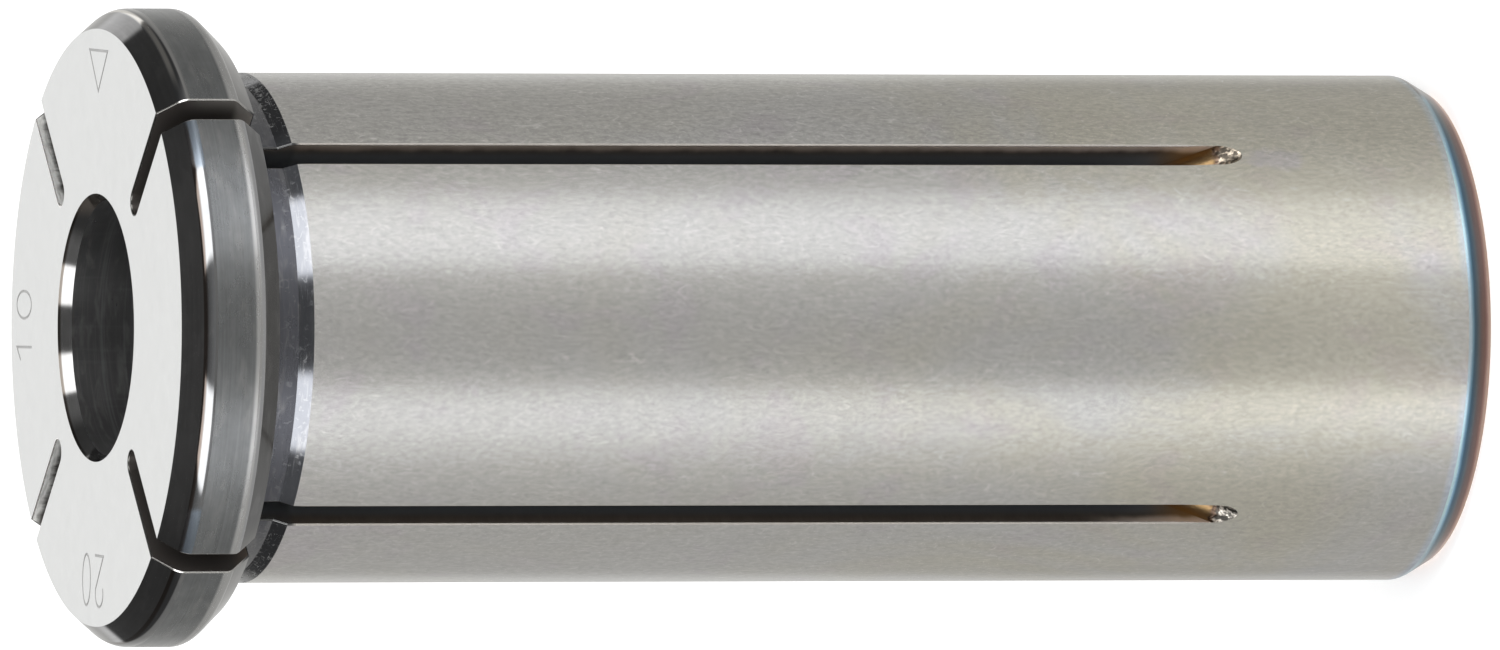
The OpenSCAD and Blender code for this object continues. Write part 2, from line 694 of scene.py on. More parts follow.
@dataclass(frozen=True)
class RimSkin(DarkSkin):
    """The rim's dark scale, worn bright along an edge where hands and benches touch it."""

    worn: Colour = (0.5, 0.5, 0.5)
    worn_depth: Band = (2.8, 3.3, 0.14)
    worn_patches: Grain = Grain((0.5, 0.5, 0.5), 2.0, 0.5, 0.3, 27.0, span=(0.25, 0.55))
    worn_least: float = 0.75
    reach: Area = Area(x=(-30.0, -29.0))

    def paint(self, place: Place) -> Signal:
        """Dark scale with a soft bright band along the edge, where it is within reach.

        Args:
            place: The point of the sleeve.

        Returns:
            The colour over the surface.
        """
        patchy = self.worn_least + place.patches(self.worn_patches) * (1.0 - self.worn_least)
        band = place.depth.band(*self.worn_depth) * patchy * self.reach.at(place)
        return place.tree.mix(band, super().paint(place), self.worn)


@dataclass(frozen=True)
class PolishedEdge(RimSkin):
    """The polished front edge of the rim: worn grey high up, a painted highlight by the chamfer, then
    brown.
    """

    brown: Colour = (0.46, 0.38, 0.33)
    browned: Area = Area(depth=(0.9, 0.82), x=(9.0, 8.0))
    blue: Colour = (0.88, 1.0, 1.14)
    scuffed: Band = (6.65, 8.9, 0.3)
    scuffed_rough: float = 0.18
    # Painted highlight: a bright line on the arc beside the chamfer, near the top.
    glint: Colour = (0.8, 0.77, 0.72)
    painted_glint_depth: Band = (0.78, 0.94, 0.1)
    painted_glint_top: Area = Area(x=(9.4, 10.6))

    def paint(self, place: Place) -> Signal:
        """Dark scale with a worn line, a painted highlight line at the top, and a brown rim by the chamfer.

        Args:
            place: The point of the sleeve.

        Returns:
            The colour over the surface.
        """
        tree = place.tree
        plain = tree.mix(self.browned.at(place), super().paint(place), self.brown, "MULTIPLY")
        plain = tree.mix(place.aside.band(*self.scuffed), plain, self.blue, "MULTIPLY")
        # Painted highlight beside the chamfer, near the top.
        glint = place.depth.band(*self.painted_glint_depth) * self.painted_glint_top.at(place)
        return tree.mix(glint, plain, self.glint)

    def roughen(self, place: Place) -> Signal:
        """Smooth, and duller where the polish is scuffed, on both sides."""
        return super().roughen(place) + place.aside.band(*self.scuffed) * self.scuffed_rough


@dataclass(frozen=True)
class MouthSkin(DarkSkin):
    """The lead-in of the bore, with the dark burr line that the facing cut left round it."""

    lip: Colour = (0.085, 0.075, 0.066)
    lip_area: Area = Area(depth=(0.13, 0.07))
    crown: Colour = (0.62, 0.53, 0.45)
    crown_area: Area = Area(0.8, x=(4.1, 4.8))

    def paint(self, place: Place) -> Signal:
        """Dark scale, darker still at the lip, and rubbed at the top."""
        plain = place.tree.mix(self.lip_area.at(place), super().paint(place), self.lip)
        return place.tree.mix(self.crown_area.at(place), plain, self.crown)


@dataclass(frozen=True)
class HonedBore(DarkSkin):
    """The bore, with the marks that honing left round it and a few lines along it."""

    ring: Colour = (0.2, 0.2, 0.205)
    rings: Area = Area(0.6, patches=Grain((0.1, 0.1, 5.0), 4.0, 0.7, start=37.0, span=(0.5, 0.68)))
    lines: Area = Area(0.2, patches=Grain((3.0, 3.0, 0.12), 3.0, 0.6, start=53.0, span=(0.54, 0.7)))
    shade: Colour = (0.03, 0.03, 0.03)
    shade_least: float = 0.08
    shade_top: Area = Area(0.25, x=(0.5, 3.5))

    def paint(self, place: Place) -> Signal:
        """Dark steel with fine lighter rings and faint lines along the axis."""
        plain = place.tree.mix(self.rings.at(place) + self.lines.at(place), super().paint(place), self.ring)
        return place.tree.mix(self.shade_least + self.shade_top.at(place), plain, self.shade)


@dataclass(frozen=True)
class SlitEdge(Finish):
    """The broken edges of the slits: bright along the shank, dark in the groove, rubbed on the collar."""

    scale: Colour = (0.1, 0.1, 0.1)
    groove: Area = Area(depth=(6.3, 6.0))
    rubbed: Colour = (0.5, 0.49, 0.47)
    collar: Area = Area(depth=(3.9, 3.5))
    glint: Colour = (0.9, 0.88, 0.86)
    chamfer: Area = Area(depth=(1.2, 1.05))
    front: Colour = (0.13, 0.127, 0.12)
    beside_face: Area = Area(depth=(0.88, 0.74))
    outside_face: Area = Area(radius=(11.65, 11.8))
    # Painted shade: beside the face, the edges on the -Y side, which faces the camera, are darkened too.
    shaded_near_side: Area = Area(y=(1.0, -1.0))

    def paint(self, place: Place) -> Signal:
        """Bright on the shank, dark in the groove, rubbed on the rim, dull beside the face, and painted
        shade there on the -Y side.

        Args:
            place: The point of the sleeve.

        Returns:
            The colour over the surface.
        """
        tree = place.tree
        plain = tree.mix(self.groove.at(place), super().paint(place), self.scale)
        plain = tree.mix(self.collar.at(place), plain, self.rubbed)
        plain = tree.mix(self.chamfer.at(place), plain, self.glint)
        # Dull out by the chamfer all round, and painted shade beside the face on the -Y side.
        dull_and_shaded = tree.math("MAXIMUM", self.outside_face.at(place), self.shaded_near_side.at(place))
        return tree.mix(self.beside_face.at(place) * dull_and_shaded, plain, self.front)


@dataclass(frozen=True)
class Tempered(Finish):
    """The end chamfer, with the colours that heat left from the shank's edge to the rear end."""

    top: float = 1.2
    colours: tuple[tuple[float, Colour], ...] = (
        (0.08, (0.8, 0.575, 0.466)),
        (0.18, (0.546, 0.337, 0.289)),
        (0.28, (0.31, 0.18, 0.15)),
        (0.39, (0.274, 0.173, 0.146)),
        (0.5, (0.235, 0.167, 0.154)),
        (0.61, (0.192, 0.193, 0.195)),
        (0.71, (0.131, 0.17, 0.197)),
        (0.82, (0.1, 0.166, 0.215)),
        (0.92, (0.27, 0.42, 0.51)),
        (1.02, (0.6, 0.74, 0.83)),
        (1.12, (0.66, 0.75, 0.8)),
    )
    wander: Grain = Grain((0.22, 0.22, 0.0), 3.0, 0.6, 0.3, 8.0)
    wander_most: float = 0.18
    blue: Colour = (1.06, 1.22, 1.35)
    blue_above: Span = (0.2, 0.34)
    blue_sides: tuple[Area, Area] = (Area(aside=(0.5, 4.0)), Area(aside=(8.8, 7.0)))
    dull: Colour = (0.42, 0.41, 0.4)
    dull_top: Area = Area(x=(9.1, 9.5))
    streaks: Grain = Grain((1.4, 1.4, 7.0), 3.0, 0.6, start=9.0)
    streaks_share: float = 0.25

    def paint(self, place: Place) -> Signal:
        """Bands of straw, bronze and blue that wander a little round the chamfer.

        Args:
            place: The point of the sleeve.

        Returns:
            The colour over the surface.
        """
        tree = place.tree
        height = place.z + place.sway(self.wander) * self.wander_most
        stops = [(z / self.top, colour) for z, colour in self.colours]
        plain = tree.signal("ShaderNodeValToRGB", {"stops": stops}, {0: height / self.top})
        bluer = height.rise(*self.blue_above) * self.blue_sides[0].at(place) * self.blue_sides[1].at(place)
        plain = tree.mix(bluer, plain, self.blue, "MULTIPLY")
        plain = tree.mix(self.dull_top.at(place), plain, self.dull)
        return tree.shade(plain, 1.0 + place.sway(self.streaks) * self.streaks_share)


@dataclass(frozen=True)
class Sawn(Finish):
    """The walls and floors of the slits, with the ribs of the saw."""

    deep: Colour = (0.19, 0.2, 0.21)
    deep_area: Area = Area(radius=(9.7, 9.2))
    # Painted shade: darker deep in the slit, and partly darker along the relief groove and its cone.
    slit_shade: Colour = (0.08, 0.085, 0.09)
    slit_shade_area: Area = Area(radius=(8.9, 8.2))
    slit_shade_groove: Band = (4.1, 6.1, 0.3)
    slit_shade_share: float = 0.5
    amber: Colour = (0.25, 0.165, 0.08)
    amber_area: Area = Area(z=(13.4, 11.4))
    # Painted light: the brown oxide near the walls' outer edges is lightened, on the +X side and by the
    # tips.
    rubbed: Colour = (0.64, 0.53, 0.45)
    edge_light_radius: Span = (9.5, 9.9)
    edge_light_wander: Grain = Grain((0.1, 0.1, 1.0), start=51.0)
    edge_light_most: float = 0.4
    edge_light_side: Area = Area(x=(-0.5, 0.5))
    edge_light_rear: Area = Area(0.5, z=(26.0, 14.0))
    edge_light_front: float = 0.5
    edge_light_tip: Area = Area(z=(16.0, 13.0))
    ember: Colour = (0.085, 0.076, 0.07)
    collar: Area = Area(depth=(3.9, 3.1))
    # Painted light on the collar's notch walls on the +X side, near the rim and near the collar's back.
    notch_light: Colour = (0.3, 0.285, 0.265)
    notch_light_rim: Area = Area(radius=(11.5, 12.5), depth=(0.8, 2.2))
    notch_light_back: Band = (3.2, 4.1, 0.4)
    notch_light_area: Area = Area(0.8, depth=(4.2, 3.9), x=(-1.0, 1.0))
    # Painted light: the far slits' walls close below the face, near-white with the saw's ribs.
    far_wall_light: Colour = (0.9, 0.9, 0.88)
    far_wall_light_depth: Span = (0.5, 0.14)
    far_wall_light_side: Area = Area(y=(0.0, 1.0))
    far_wall_light_ragged: Grain = Grain((2.6, 2.6, 1.0), 3.0, 0.65, 0.3, 67.0)
    far_wall_light_most: float = 0.5
    ribs: Grain = Grain((1.5, 1.5, 8.0), 4.0, 0.7, 0.3, 19.0)
    ribs_share: float = 1.6
    ridges: Grain = Grain((0.9, 0.9, 5.0), 3.0, 0.6, 0.2, 3.0)

    def _far_wall_lit(self, place: Place) -> Signal:
        """Where the far slits' walls are painted light, close below the face."""
        depth = place.depth - place.sway(self.far_wall_light_ragged) * self.far_wall_light_most
        return depth.rise(*self.far_wall_light_depth) * self.far_wall_light_side.at(place)

    def _edge_light(self, place: Place) -> Signal:
        """Where the walls are painted lighter near their outer edges: on the +X side all along, and by the
        tips.

        Args:
            place: The point of the sleeve.

        Returns:
            The strength of the painted light.
        """
        side = self.edge_light_side.at(place) * (self.edge_light_front + self.edge_light_rear.at(place))
        side = place.tree.math("MAXIMUM", side, self.edge_light_tip.at(place))
        out = place.radius + place.sway(self.edge_light_wander) * self.edge_light_most
        return out.rise(*self.edge_light_radius) * side

    def paint(self, place: Place) -> Signal:
        """Brown oxide and amber by the tip, with painted light near the edges and by the face, and painted
        shade deep down.

        Args:
            place: The point of the sleeve.

        Returns:
            The colour over the surface.
        """
        tree = place.tree
        plain = tree.mix(self.deep_area.at(place), super().paint(place), self.deep)
        # Painted shade deep in the slit.
        plain = tree.mix(self.slit_shade_area.at(place), plain, self.slit_shade)
        plain = tree.mix(self.amber_area.at(place), plain, self.amber)
        # Painted light near the outer edges of the walls.
        plain = tree.mix(self._edge_light(place), plain, self.rubbed)
        # Painted shade along the relief groove and its cone.
        plain = tree.mix(place.depth.band(*self.slit_shade_groove) * self.slit_shade_share, plain, self.slit_shade)
        plain = tree.mix(self.collar.at(place), plain, self.ember)
        # Painted light on the notch walls on the +X side.
        notch_lit = self.notch_light_rim.at(place) + place.depth.band(*self.notch_light_back)
        plain = tree.mix(notch_lit * self.notch_light_area.at(place), plain, self.notch_light)
        # Painted light on the far walls, with the saw's ribs.
        far_wall_light = tree.shade(self.far_wall_light, 1.0 + place.sway(self.ribs) * self.ribs_share)
        return tree.mix(self._far_wall_lit(place), plain, far_wall_light)

    def relief(self, place: Place) -> Signal:
        """Ribs that follow the saw."""
        return place.noise(self.ridges)


@dataclass(frozen=True)
class RunOut(Finish):
    """Where the saw ran out: amber oxide that ends in a bright, freshly cut nose."""

    smoked: Colour = (0.16, 0.15, 0.145)
    amber: Colour = (0.25, 0.165, 0.08)
    amber_from: Span = (11.6, 13.2)
    torn: Colour = (0.22, 0.15, 0.11)
    torn_from: Span = (10.85, 10.6)
    torn_least: float = 0.2
    torn_lit: float = 0.9
    cut_from: Span = (10.55, 10.3)
    cut_least: float = 0.28
    cut_lit: float = 2.1
    warm: Colour = (1.0, 0.93, 0.84)
    warm_area: Area = Area(x=(0.0, 1.0))
    ragged: Grain = Grain((2.4, 2.4, 1.6), 4.0, 0.6, 0.3, 14.0)
    ragged_most: float = 1.2
    facets: Grain = Grain((5.5, 5.5, 4.0), 2.0, 0.6, 0.6, 33.0, span=(0.38, 0.64))
    chips: Grain = Grain((5.0, 5.0, 5.0), 3.0, 0.65, 0.8, 3.0)

    def paint(self, place: Place) -> Signal:
        """Dark, then amber, then freshly cut steel in small facets towards the tip.

        Args:
            place: The point of the sleeve.

        Returns:
            The colour over the surface.
        """
        tree = place.tree
        height = place.z + place.sway(self.ragged) * self.ragged_most
        facets = place.patches(self.facets)
        plain = tree.mix(height.rise(*self.amber_from), self.amber, self.smoked)
        torn = tree.shade(self.torn, self.torn_least + facets * self.torn_lit)
        plain = tree.mix(height.rise(*self.torn_from), plain, torn)
        cut = tree.shade(super().paint(place), self.cut_least + facets * facets * self.cut_lit)
        cut = tree.mix(self.warm_area.at(place), cut, self.warm, "MULTIPLY")
        return tree.mix(height.rise(*self.cut_from), plain, cut)

    def relief(self, place: Place) -> Signal:
        """Torn chips at the tip of the cut."""
        return place.noise(self.chips)


# Mesh


def direction(start: np.ndarray, end: np.ndarray) -> np.ndarray:
    """The unit vector from one point to another."""
    return (end - start) / np.linalg.norm(end - start)


def outward(along: np.ndarray) -> np.ndarray:
    """The outward normal of a side of the section that runs in that direction."""
    return np.array([along[1], -along[0]])


def mitre(first: np.ndarray, second: np.ndarray) -> np.ndarray:
    """The vector whose length along each of two unit normals is 1."""
    return (first + second) / (1 + first @ second)


def fan(start: float, end: float, steps: int) -> np.ndarray:
    """Evenly spaced values from start to end, both included."""
    return np.linspace(start, end, steps + 1)


def share_of(value: float, start: float, full: float) -> float:
    """How far a value has come between two others, held between 0 and 1."""
    return min(max((value - start) / (full - start), 0.0), 1.0)


def arc(radius: float, angles: np.ndarray) -> np.ndarray:
    """Points on a circle round the axis, at the height of the rear end."""
    return radius * np.stack([np.cos(angles), np.sin(angles), 0.0 * angles], 1)


def repeated(vector: Triple, count: int) -> np.ndarray:
    """The same vector for each of a number of points."""
    return np.tile(vector, (count, 1))


@dataclass
class Strip:
    """A stretch of the section's outline: points, shading normals and insets, each as (radius, z)."""

    zone: Zone
    points: np.ndarray
    normals: np.ndarray
    insets: np.ndarray

    def part(self, low: float, high: float, extra: np.ndarray) -> Strip:
        """A straight strip's stretch between two heights.

        Args:
            low: The height at which the stretch starts.
            high: The height at which it ends.
            extra: Heights of the stations between the two.

        Returns:
            The stretch, with its end insets kept only where the strip itself ends.
        """
        heights = np.array([low, *extra, high])
        shares = (heights - self.points[0, 1]) / (self.points[-1, 1] - self.points[0, 1])
        points = self.points[0] + shares[:, None] * (self.points[-1] - self.points[0])
        normals = np.tile(self.normals[0], (len(heights), 1))
        insets = normals.copy()
        if math.isclose(low, self.points[0, 1]):
            insets[0] = self.insets[0]
        if math.isclose(high, self.points[-1, 1]):
            insets[-1] = self.insets[-1]
        return Strip(self.zone, points, normals, insets)


@dataclass(frozen=True)
class Corner:
    """A corner of the section, the zone of the side that leaves it, and how it is rounded."""

    radius: float
    height: float
    zone: Zone
    steps: int = 1
    rounding: float = 0.0
    edge: Zone = Zone.SLIT_EDGE
    edge_steps: int = 6

    @property
    def point(self) -> np.ndarray:
        """The corner as (radius, z)."""
        return np.array([self.radius, self.height])


@dataclass(frozen=True)
class Section:
    """The turned section: collar, relief groove, shank, end chamfer and bore.

    A chamfer and the mouth of the bore are given as the depth along the radius and the length.
    """

    length: float
    collar_radius: float
    shank_radius: float = 10.0 * MM
    bore_radius: float = 5.0 * MM
    collar_thickness: float = 4.0 * MM
    end_chamfer: Span = (0.57735 * MM, 1.0 * MM)
    end_rounding: float = 0.4 * MM
    cone_length: float = 0.55 * MM
    groove_depth: float = 0.25 * MM
    groove_width: float = 1.35 * MM
    groove_rounding: float = 0.3 * MM
    back_chamfer: Span = (0.85 * MM, 0.9 * MM)
    back_rounding: float = 0.4 * MM
    front_chamfer: Span = (0.8 * MM, 0.95 * MM)
    front_rounding: float = 0.8 * MM
    mouth: Span = (0.25 * MM, 0.5 * MM)
    tail: float = 0.5 * MM

    @property
    def back(self) -> float:
        """The height of the collar's back face."""
        return self.length - self.collar_thickness

    @property
    def face_radii(self) -> Span:
        """The inner and outer radius of the front face."""
        return self.bore_radius + self.mouth[0], self.collar_radius - self.front_chamfer[0]

    def corners(self) -> list[Corner]:
        """The corners, from the rear end of the bore round to the bore again.

        Returns:
            The corners, in the order in which the outline passes them.
        """
        bore, shank, rim = self.bore_radius, self.shank_radius, self.collar_radius
        front, back = self.length, self.back
        floor = shank - self.groove_depth
        cone = back - self.groove_width
        inner, outer = self.face_radii
        end = {"rounding": self.end_rounding, "edge": Zone.END_EDGE, "edge_steps": 8}
        hollow = {"rounding": self.groove_rounding, "edge": Zone.GROOVE_CORNER}
        back_edge = {"rounding": self.back_rounding, "edge": Zone.BACK_EDGE}
        front_edge = {"rounding": self.front_rounding, "edge": Zone.FRONT_EDGE, "edge_steps": 12}
        return [
            Corner(bore + self.tail, 0.0, Zone.REAR_END, 3),
            Corner(shank - self.end_chamfer[0], 0.0, Zone.END_CHAMFER, 3),
            Corner(shank, self.end_chamfer[1], Zone.SHANK, **end),
            Corner(shank, cone - self.cone_length, Zone.CONE, 2),
            Corner(floor, cone, Zone.GROOVE, 3),
            Corner(floor, back, Zone.COLLAR_BACK, 4, **hollow),
            Corner(rim - self.back_chamfer[0], back, Zone.BACK_CHAMFER, 3),
            Corner(rim, back + self.back_chamfer[1], Zone.RIM, 4, **back_edge),
            Corner(rim, front - self.front_chamfer[1], Zone.FRONT_CHAMFER, 3, **front_edge),
            Corner(outer, front, Zone.FACE, 8),
            Corner(inner, front, Zone.MOUTH, 3),
            Corner(bore, front - self.mouth[1], Zone.BORE, 12),
            Corner(bore, self.tail, Zone.TAIL, 2),
        ]

    def strips(self) -> dict[Zone, Strip]:
        """The outline as strips, one for each side and each rounded corner.

        Returns:
            The strips by zone, in the corners' order.
        """
        corners = self.corners()
        sides = list(zip(corners, [*corners[1:], corners[0]]))
        along = [direction(corner.point, after.point) for corner, after in sides]
        found = []
        starts = []
        ends = []
        for i, corner in enumerate(corners):
            before, after = along[i - 1], along[i]
            turn = math.atan2(before[0] * after[1] - before[1] * after[0], before @ after)
            reach = corner.rounding * math.tan(abs(turn) / 2)
            ends.append(corner.point - before * reach)
            starts.append(corner.point + after * reach)
            found.append([])
            if corner.rounding:
                first = math.atan2(*outward(before)[::-1])
                angles = fan(first, first + turn, corner.edge_steps)
                normals = np.stack([np.cos(angles), np.sin(angles)], 1)
                bulge = math.copysign(corner.rounding, turn)
                centre = ends[i] - bulge * outward(before)
                found[i].append(Strip(corner.edge, centre + bulge * normals, normals, normals.copy()))
        for i, corner in enumerate(corners):
            end = ends[(i + 1) % len(ends)]
            points = starts[i] + fan(0.0, 1.0, corner.steps)[:, None] * (end - starts[i])
            normals = np.tile(outward(direction(starts[i], end)), (len(points), 1))
            found[i].append(Strip(corner.zone, points, normals, normals.copy()))
        strips = [strip for pair in found for strip in pair]
        for strip, after in zip(strips, [*strips[1:], strips[0]]):
            joint = mitre(strip.normals[-1], after.normals[0])
            strip.insets[-1] = joint
            after.insets[0] = joint
        return {strip.zone: strip for strip in strips}


class Skin:
    """Gathers the faces of a piece, with the true normal at each corner and the zone of each face."""

    def __init__(self) -> None:
        """Starts with no faces."""
        self.points: list[np.ndarray] = []
        self.normals: list[np.ndarray] = []
        self.faces: list[tuple[int, ...]] = []
        self.zones: list[Zone] = []
        self.count = 0

    def add(
        self, zone: Zone, points: np.ndarray, normals: np.ndarray, faces: list[tuple[int, ...]]
    ) -> None:
        """Adds faces, and turns each so that it looks the way its normals do.

        Args:
            zone: The zone of the faces.
            points: The points that they use.
            normals: The shading normal at each point.
            faces: The faces, as indices into the points.
        """
        for face in faces:
            corners = points[list(face)]
            around = np.cross(corners - corners[0], np.roll(corners, -1, 0) - corners[0]).sum(0)
            turned = around @ normals[list(face)].sum(0) < 0
            self.faces.append(tuple(self.count + i for i in (reversed(face) if turned else face)))
            self.zones.append(zone)
        self.points.append(points)
        self.normals.append(normals)
        self.count += len(points)

    def grid(self, zone: Zone, points: np.ndarray, normals: np.ndarray) -> None:
        """Adds a grid of quads.

        Args:
            zone: The zone of the quads.
            points: The grid's points, as an array of rows, columns and coordinates.
            normals: The shading normals, in an array of the same shape.
        """
        rows, columns = points.shape[:2]
        faces = [
            (at, at + 1, at + columns + 1, at + columns)
            for row in range(rows - 1)
            for at in range(row * columns, (row + 1) * columns - 1)
        ]
        self.add(zone, points.reshape(-1, 3), normals.reshape(-1, 3), faces)

    def build(self, name: str, materials: Mapping[Zone, bpy.types.Material]) -> bpy.types.Object:
        """Makes the piece.

        Args:
            name: The piece's name.
            materials: The material of each zone.

        Returns:
            The new object, with its patches welded and its true normals set.
        """
        kept = "true_normal"
        mesh = bpy.data.meshes.new(name)
        mesh.from_pydata(np.concatenate(self.points).tolist(), [], self.faces)
        slots = list(dict.fromkeys(materials.values()))
        for material in slots:
            mesh.materials.append(material)
        mesh.polygons.foreach_set("material_index", [slots.index(materials[zone]) for zone in self.zones])
        mesh.polygons.foreach_set("use_smooth", [True] * len(self.faces))
        corners = [i for face in self.faces for i in face]
        normals = np.concatenate(self.normals)[corners].astype(np.float32)
        mesh.attributes.new(kept, "FLOAT_VECTOR", "CORNER").data.foreach_set("vector", normals.ravel())
        work = bmesh.new()
        work.from_mesh(mesh)
        bmesh.ops.remove_doubles(work, verts=work.verts, dist=SAME_POINT)
        bmesh.ops.dissolve_degenerate(work, edges=work.edges, dist=SAME_POINT)
        work.to_mesh(mesh)
        work.free()
        normals = np.zeros(len(mesh.loops) * 3, np.float32)
        mesh.attributes[kept].data.foreach_get("vector", normals)
        mesh.attributes.remove(mesh.attributes[kept])
        mesh.normals_split_custom_set(normals.reshape(-1, 3).tolist())
        piece = bpy.data.objects.new(name, mesh)
        bpy.context.scene.collection.objects.link(piece)
        return piece


@dataclass(frozen=True)
class Stroke:
    """One engraved line on the front face."""

    points: np.ndarray
    closed: bool
    width: float = 0.11 * MM

    def _sides(self) -> tuple[np.ndarray, np.ndarray]:
        """The line's directions at its points.

        Returns:
            The direction before and the direction after each point.
        """
        if self.closed:
            after = np.roll(self.points, -1, 0) - self.points
            after /= np.linalg.norm(after, axis=1)[:, None]
            return np.roll(after, 1, 0), after
        step = np.diff(self.points, axis=0)
        step /= np.linalg.norm(step, axis=1)[:, None]
        return np.concatenate([step[:1], step]), np.concatenate([step, step[-1:]])

    def loops(self) -> list[np.ndarray]:
        """The closed lines that bound the stroke.

        Returns:
            One loop round an open stroke, or an outer and an inner loop.
        """
        half = self.width / 2
        before, after = self._sides()
        across = half * np.array([mitre(outward(a), outward(b)) for a, b in zip(before, after)])
        left, right = self.points + across, self.points - across
        if self.closed:
            return [left, right]
        for side in (left, right):
            side[0] -= before[0] * half
            side[-1] += after[-1] * half
        return [np.concatenate([left, right[::-1]])]


@dataclass(frozen=True)
class FaceMarks:
    """The index triangle, and plain numbers for the bore and the shank.

    A number is given as its figures and its direction from the axis, in degrees.
    """

    radius: float = 10.85 * MM
    triangle: Span = (2.45 * MM, 1.6 * MM)
    numbers: tuple[tuple[str, float], ...] = (("10", 92.0), ("20", 180.0))
    figure_height: float = 2.0 * MM
    figure_foot: float = 8.9 * MM
    figure_step: float = 1.75 * MM
    figure_middle: float = 0.3
    oval: Span = (0.27, 0.5)
    oval_steps: int = 28
    bow: float = 0.26
    bow_turn: Span = (math.radians(200), math.radians(-20))
    bow_steps: int = 12
    depth: float = 0.02 * MM

    def index(self) -> Stroke:
        """The triangle that points in from +X.

        Returns:
            Its closed stroke.
        """
        half = self.triangle[0] / 2
        corners = [[self.radius, -half], [self.radius - self.triangle[1], 0.0], [self.radius, half]]
        return Stroke(np.array(corners), True)

    def figure(self, sign: str) -> Stroke:
        """A figure in a box of height 1 and width 0.6, with its foot at 0.

        Args:
            sign: The figure: 1, 0 or 2.

        Returns:
            Its stroke.
        """
        if sign == "1":
            return Stroke(np.array([[0.1, 0.76], [0.34, 1.0], [0.34, 0.0]]), False)
        if sign == "0":
            angles = fan(0.0, 2 * math.pi, self.oval_steps)[:-1]
            across = self.figure_middle + self.oval[0] * np.sin(angles)
            return Stroke(np.stack([across, self.oval[1] * (1 + np.cos(angles))], 1), True)
        angles = fan(*self.bow_turn, self.bow_steps)
        across = self.figure_middle + self.bow * np.cos(angles)
        bow = np.stack([across, 1 - self.bow + self.bow * np.sin(angles)], 1)
        return Stroke(np.concatenate([bow, [[0.04, 0.0], [0.58, 0.0]]]), False)

    def number(self, signs: str, azimuth: float) -> list[Stroke]:
        """The strokes of a number whose top faces outward.

        Args:
            signs: The figures.
            azimuth: The direction of the number from the axis, in degrees.

        Returns:
            One stroke for each figure.
        """
        angle = math.radians(azimuth)
        out = np.array([math.cos(angle), math.sin(angle)])
        made = []
        for i, sign in enumerate(signs):
            plain = self.figure(sign)
            shift = (i - (len(signs) - 1) / 2) * self.figure_step
            across = (plain.points[:, 0] - self.figure_middle) * self.figure_height + shift
            up = plain.points[:, 1] * self.figure_height + self.figure_foot
            points = across[:, None] * outward(out) + up[:, None] * out
            made.append(Stroke(points, plain.closed))
        return made

    def strokes(self) -> list[Stroke]:
        """All the engraved lines."""
        figures = [stroke for number in self.numbers for stroke in self.number(*number)]
        return [self.index(), *figures]


def inside(points: np.ndarray, loops: list[np.ndarray]) -> np.ndarray:
    """Tells which points lie inside an odd number of closed loops.

    Args:
        points: The points to try, as (x, y).
        loops: The closed loops.

    Returns:
        True for each point inside.
    """
    found = np.zeros(len(points), bool)
    for loop in loops:
        for (ax, ay), (bx, by) in zip(loop, np.roll(loop, -1, 0)):
            if ay != by:
                crosses = (ay > points[:, 1]) != (by > points[:, 1])
                at = ax + (points[:, 1] - ay) * (bx - ax) / (by - ay)
                found ^= crosses & (points[:, 0] < at)
    return found


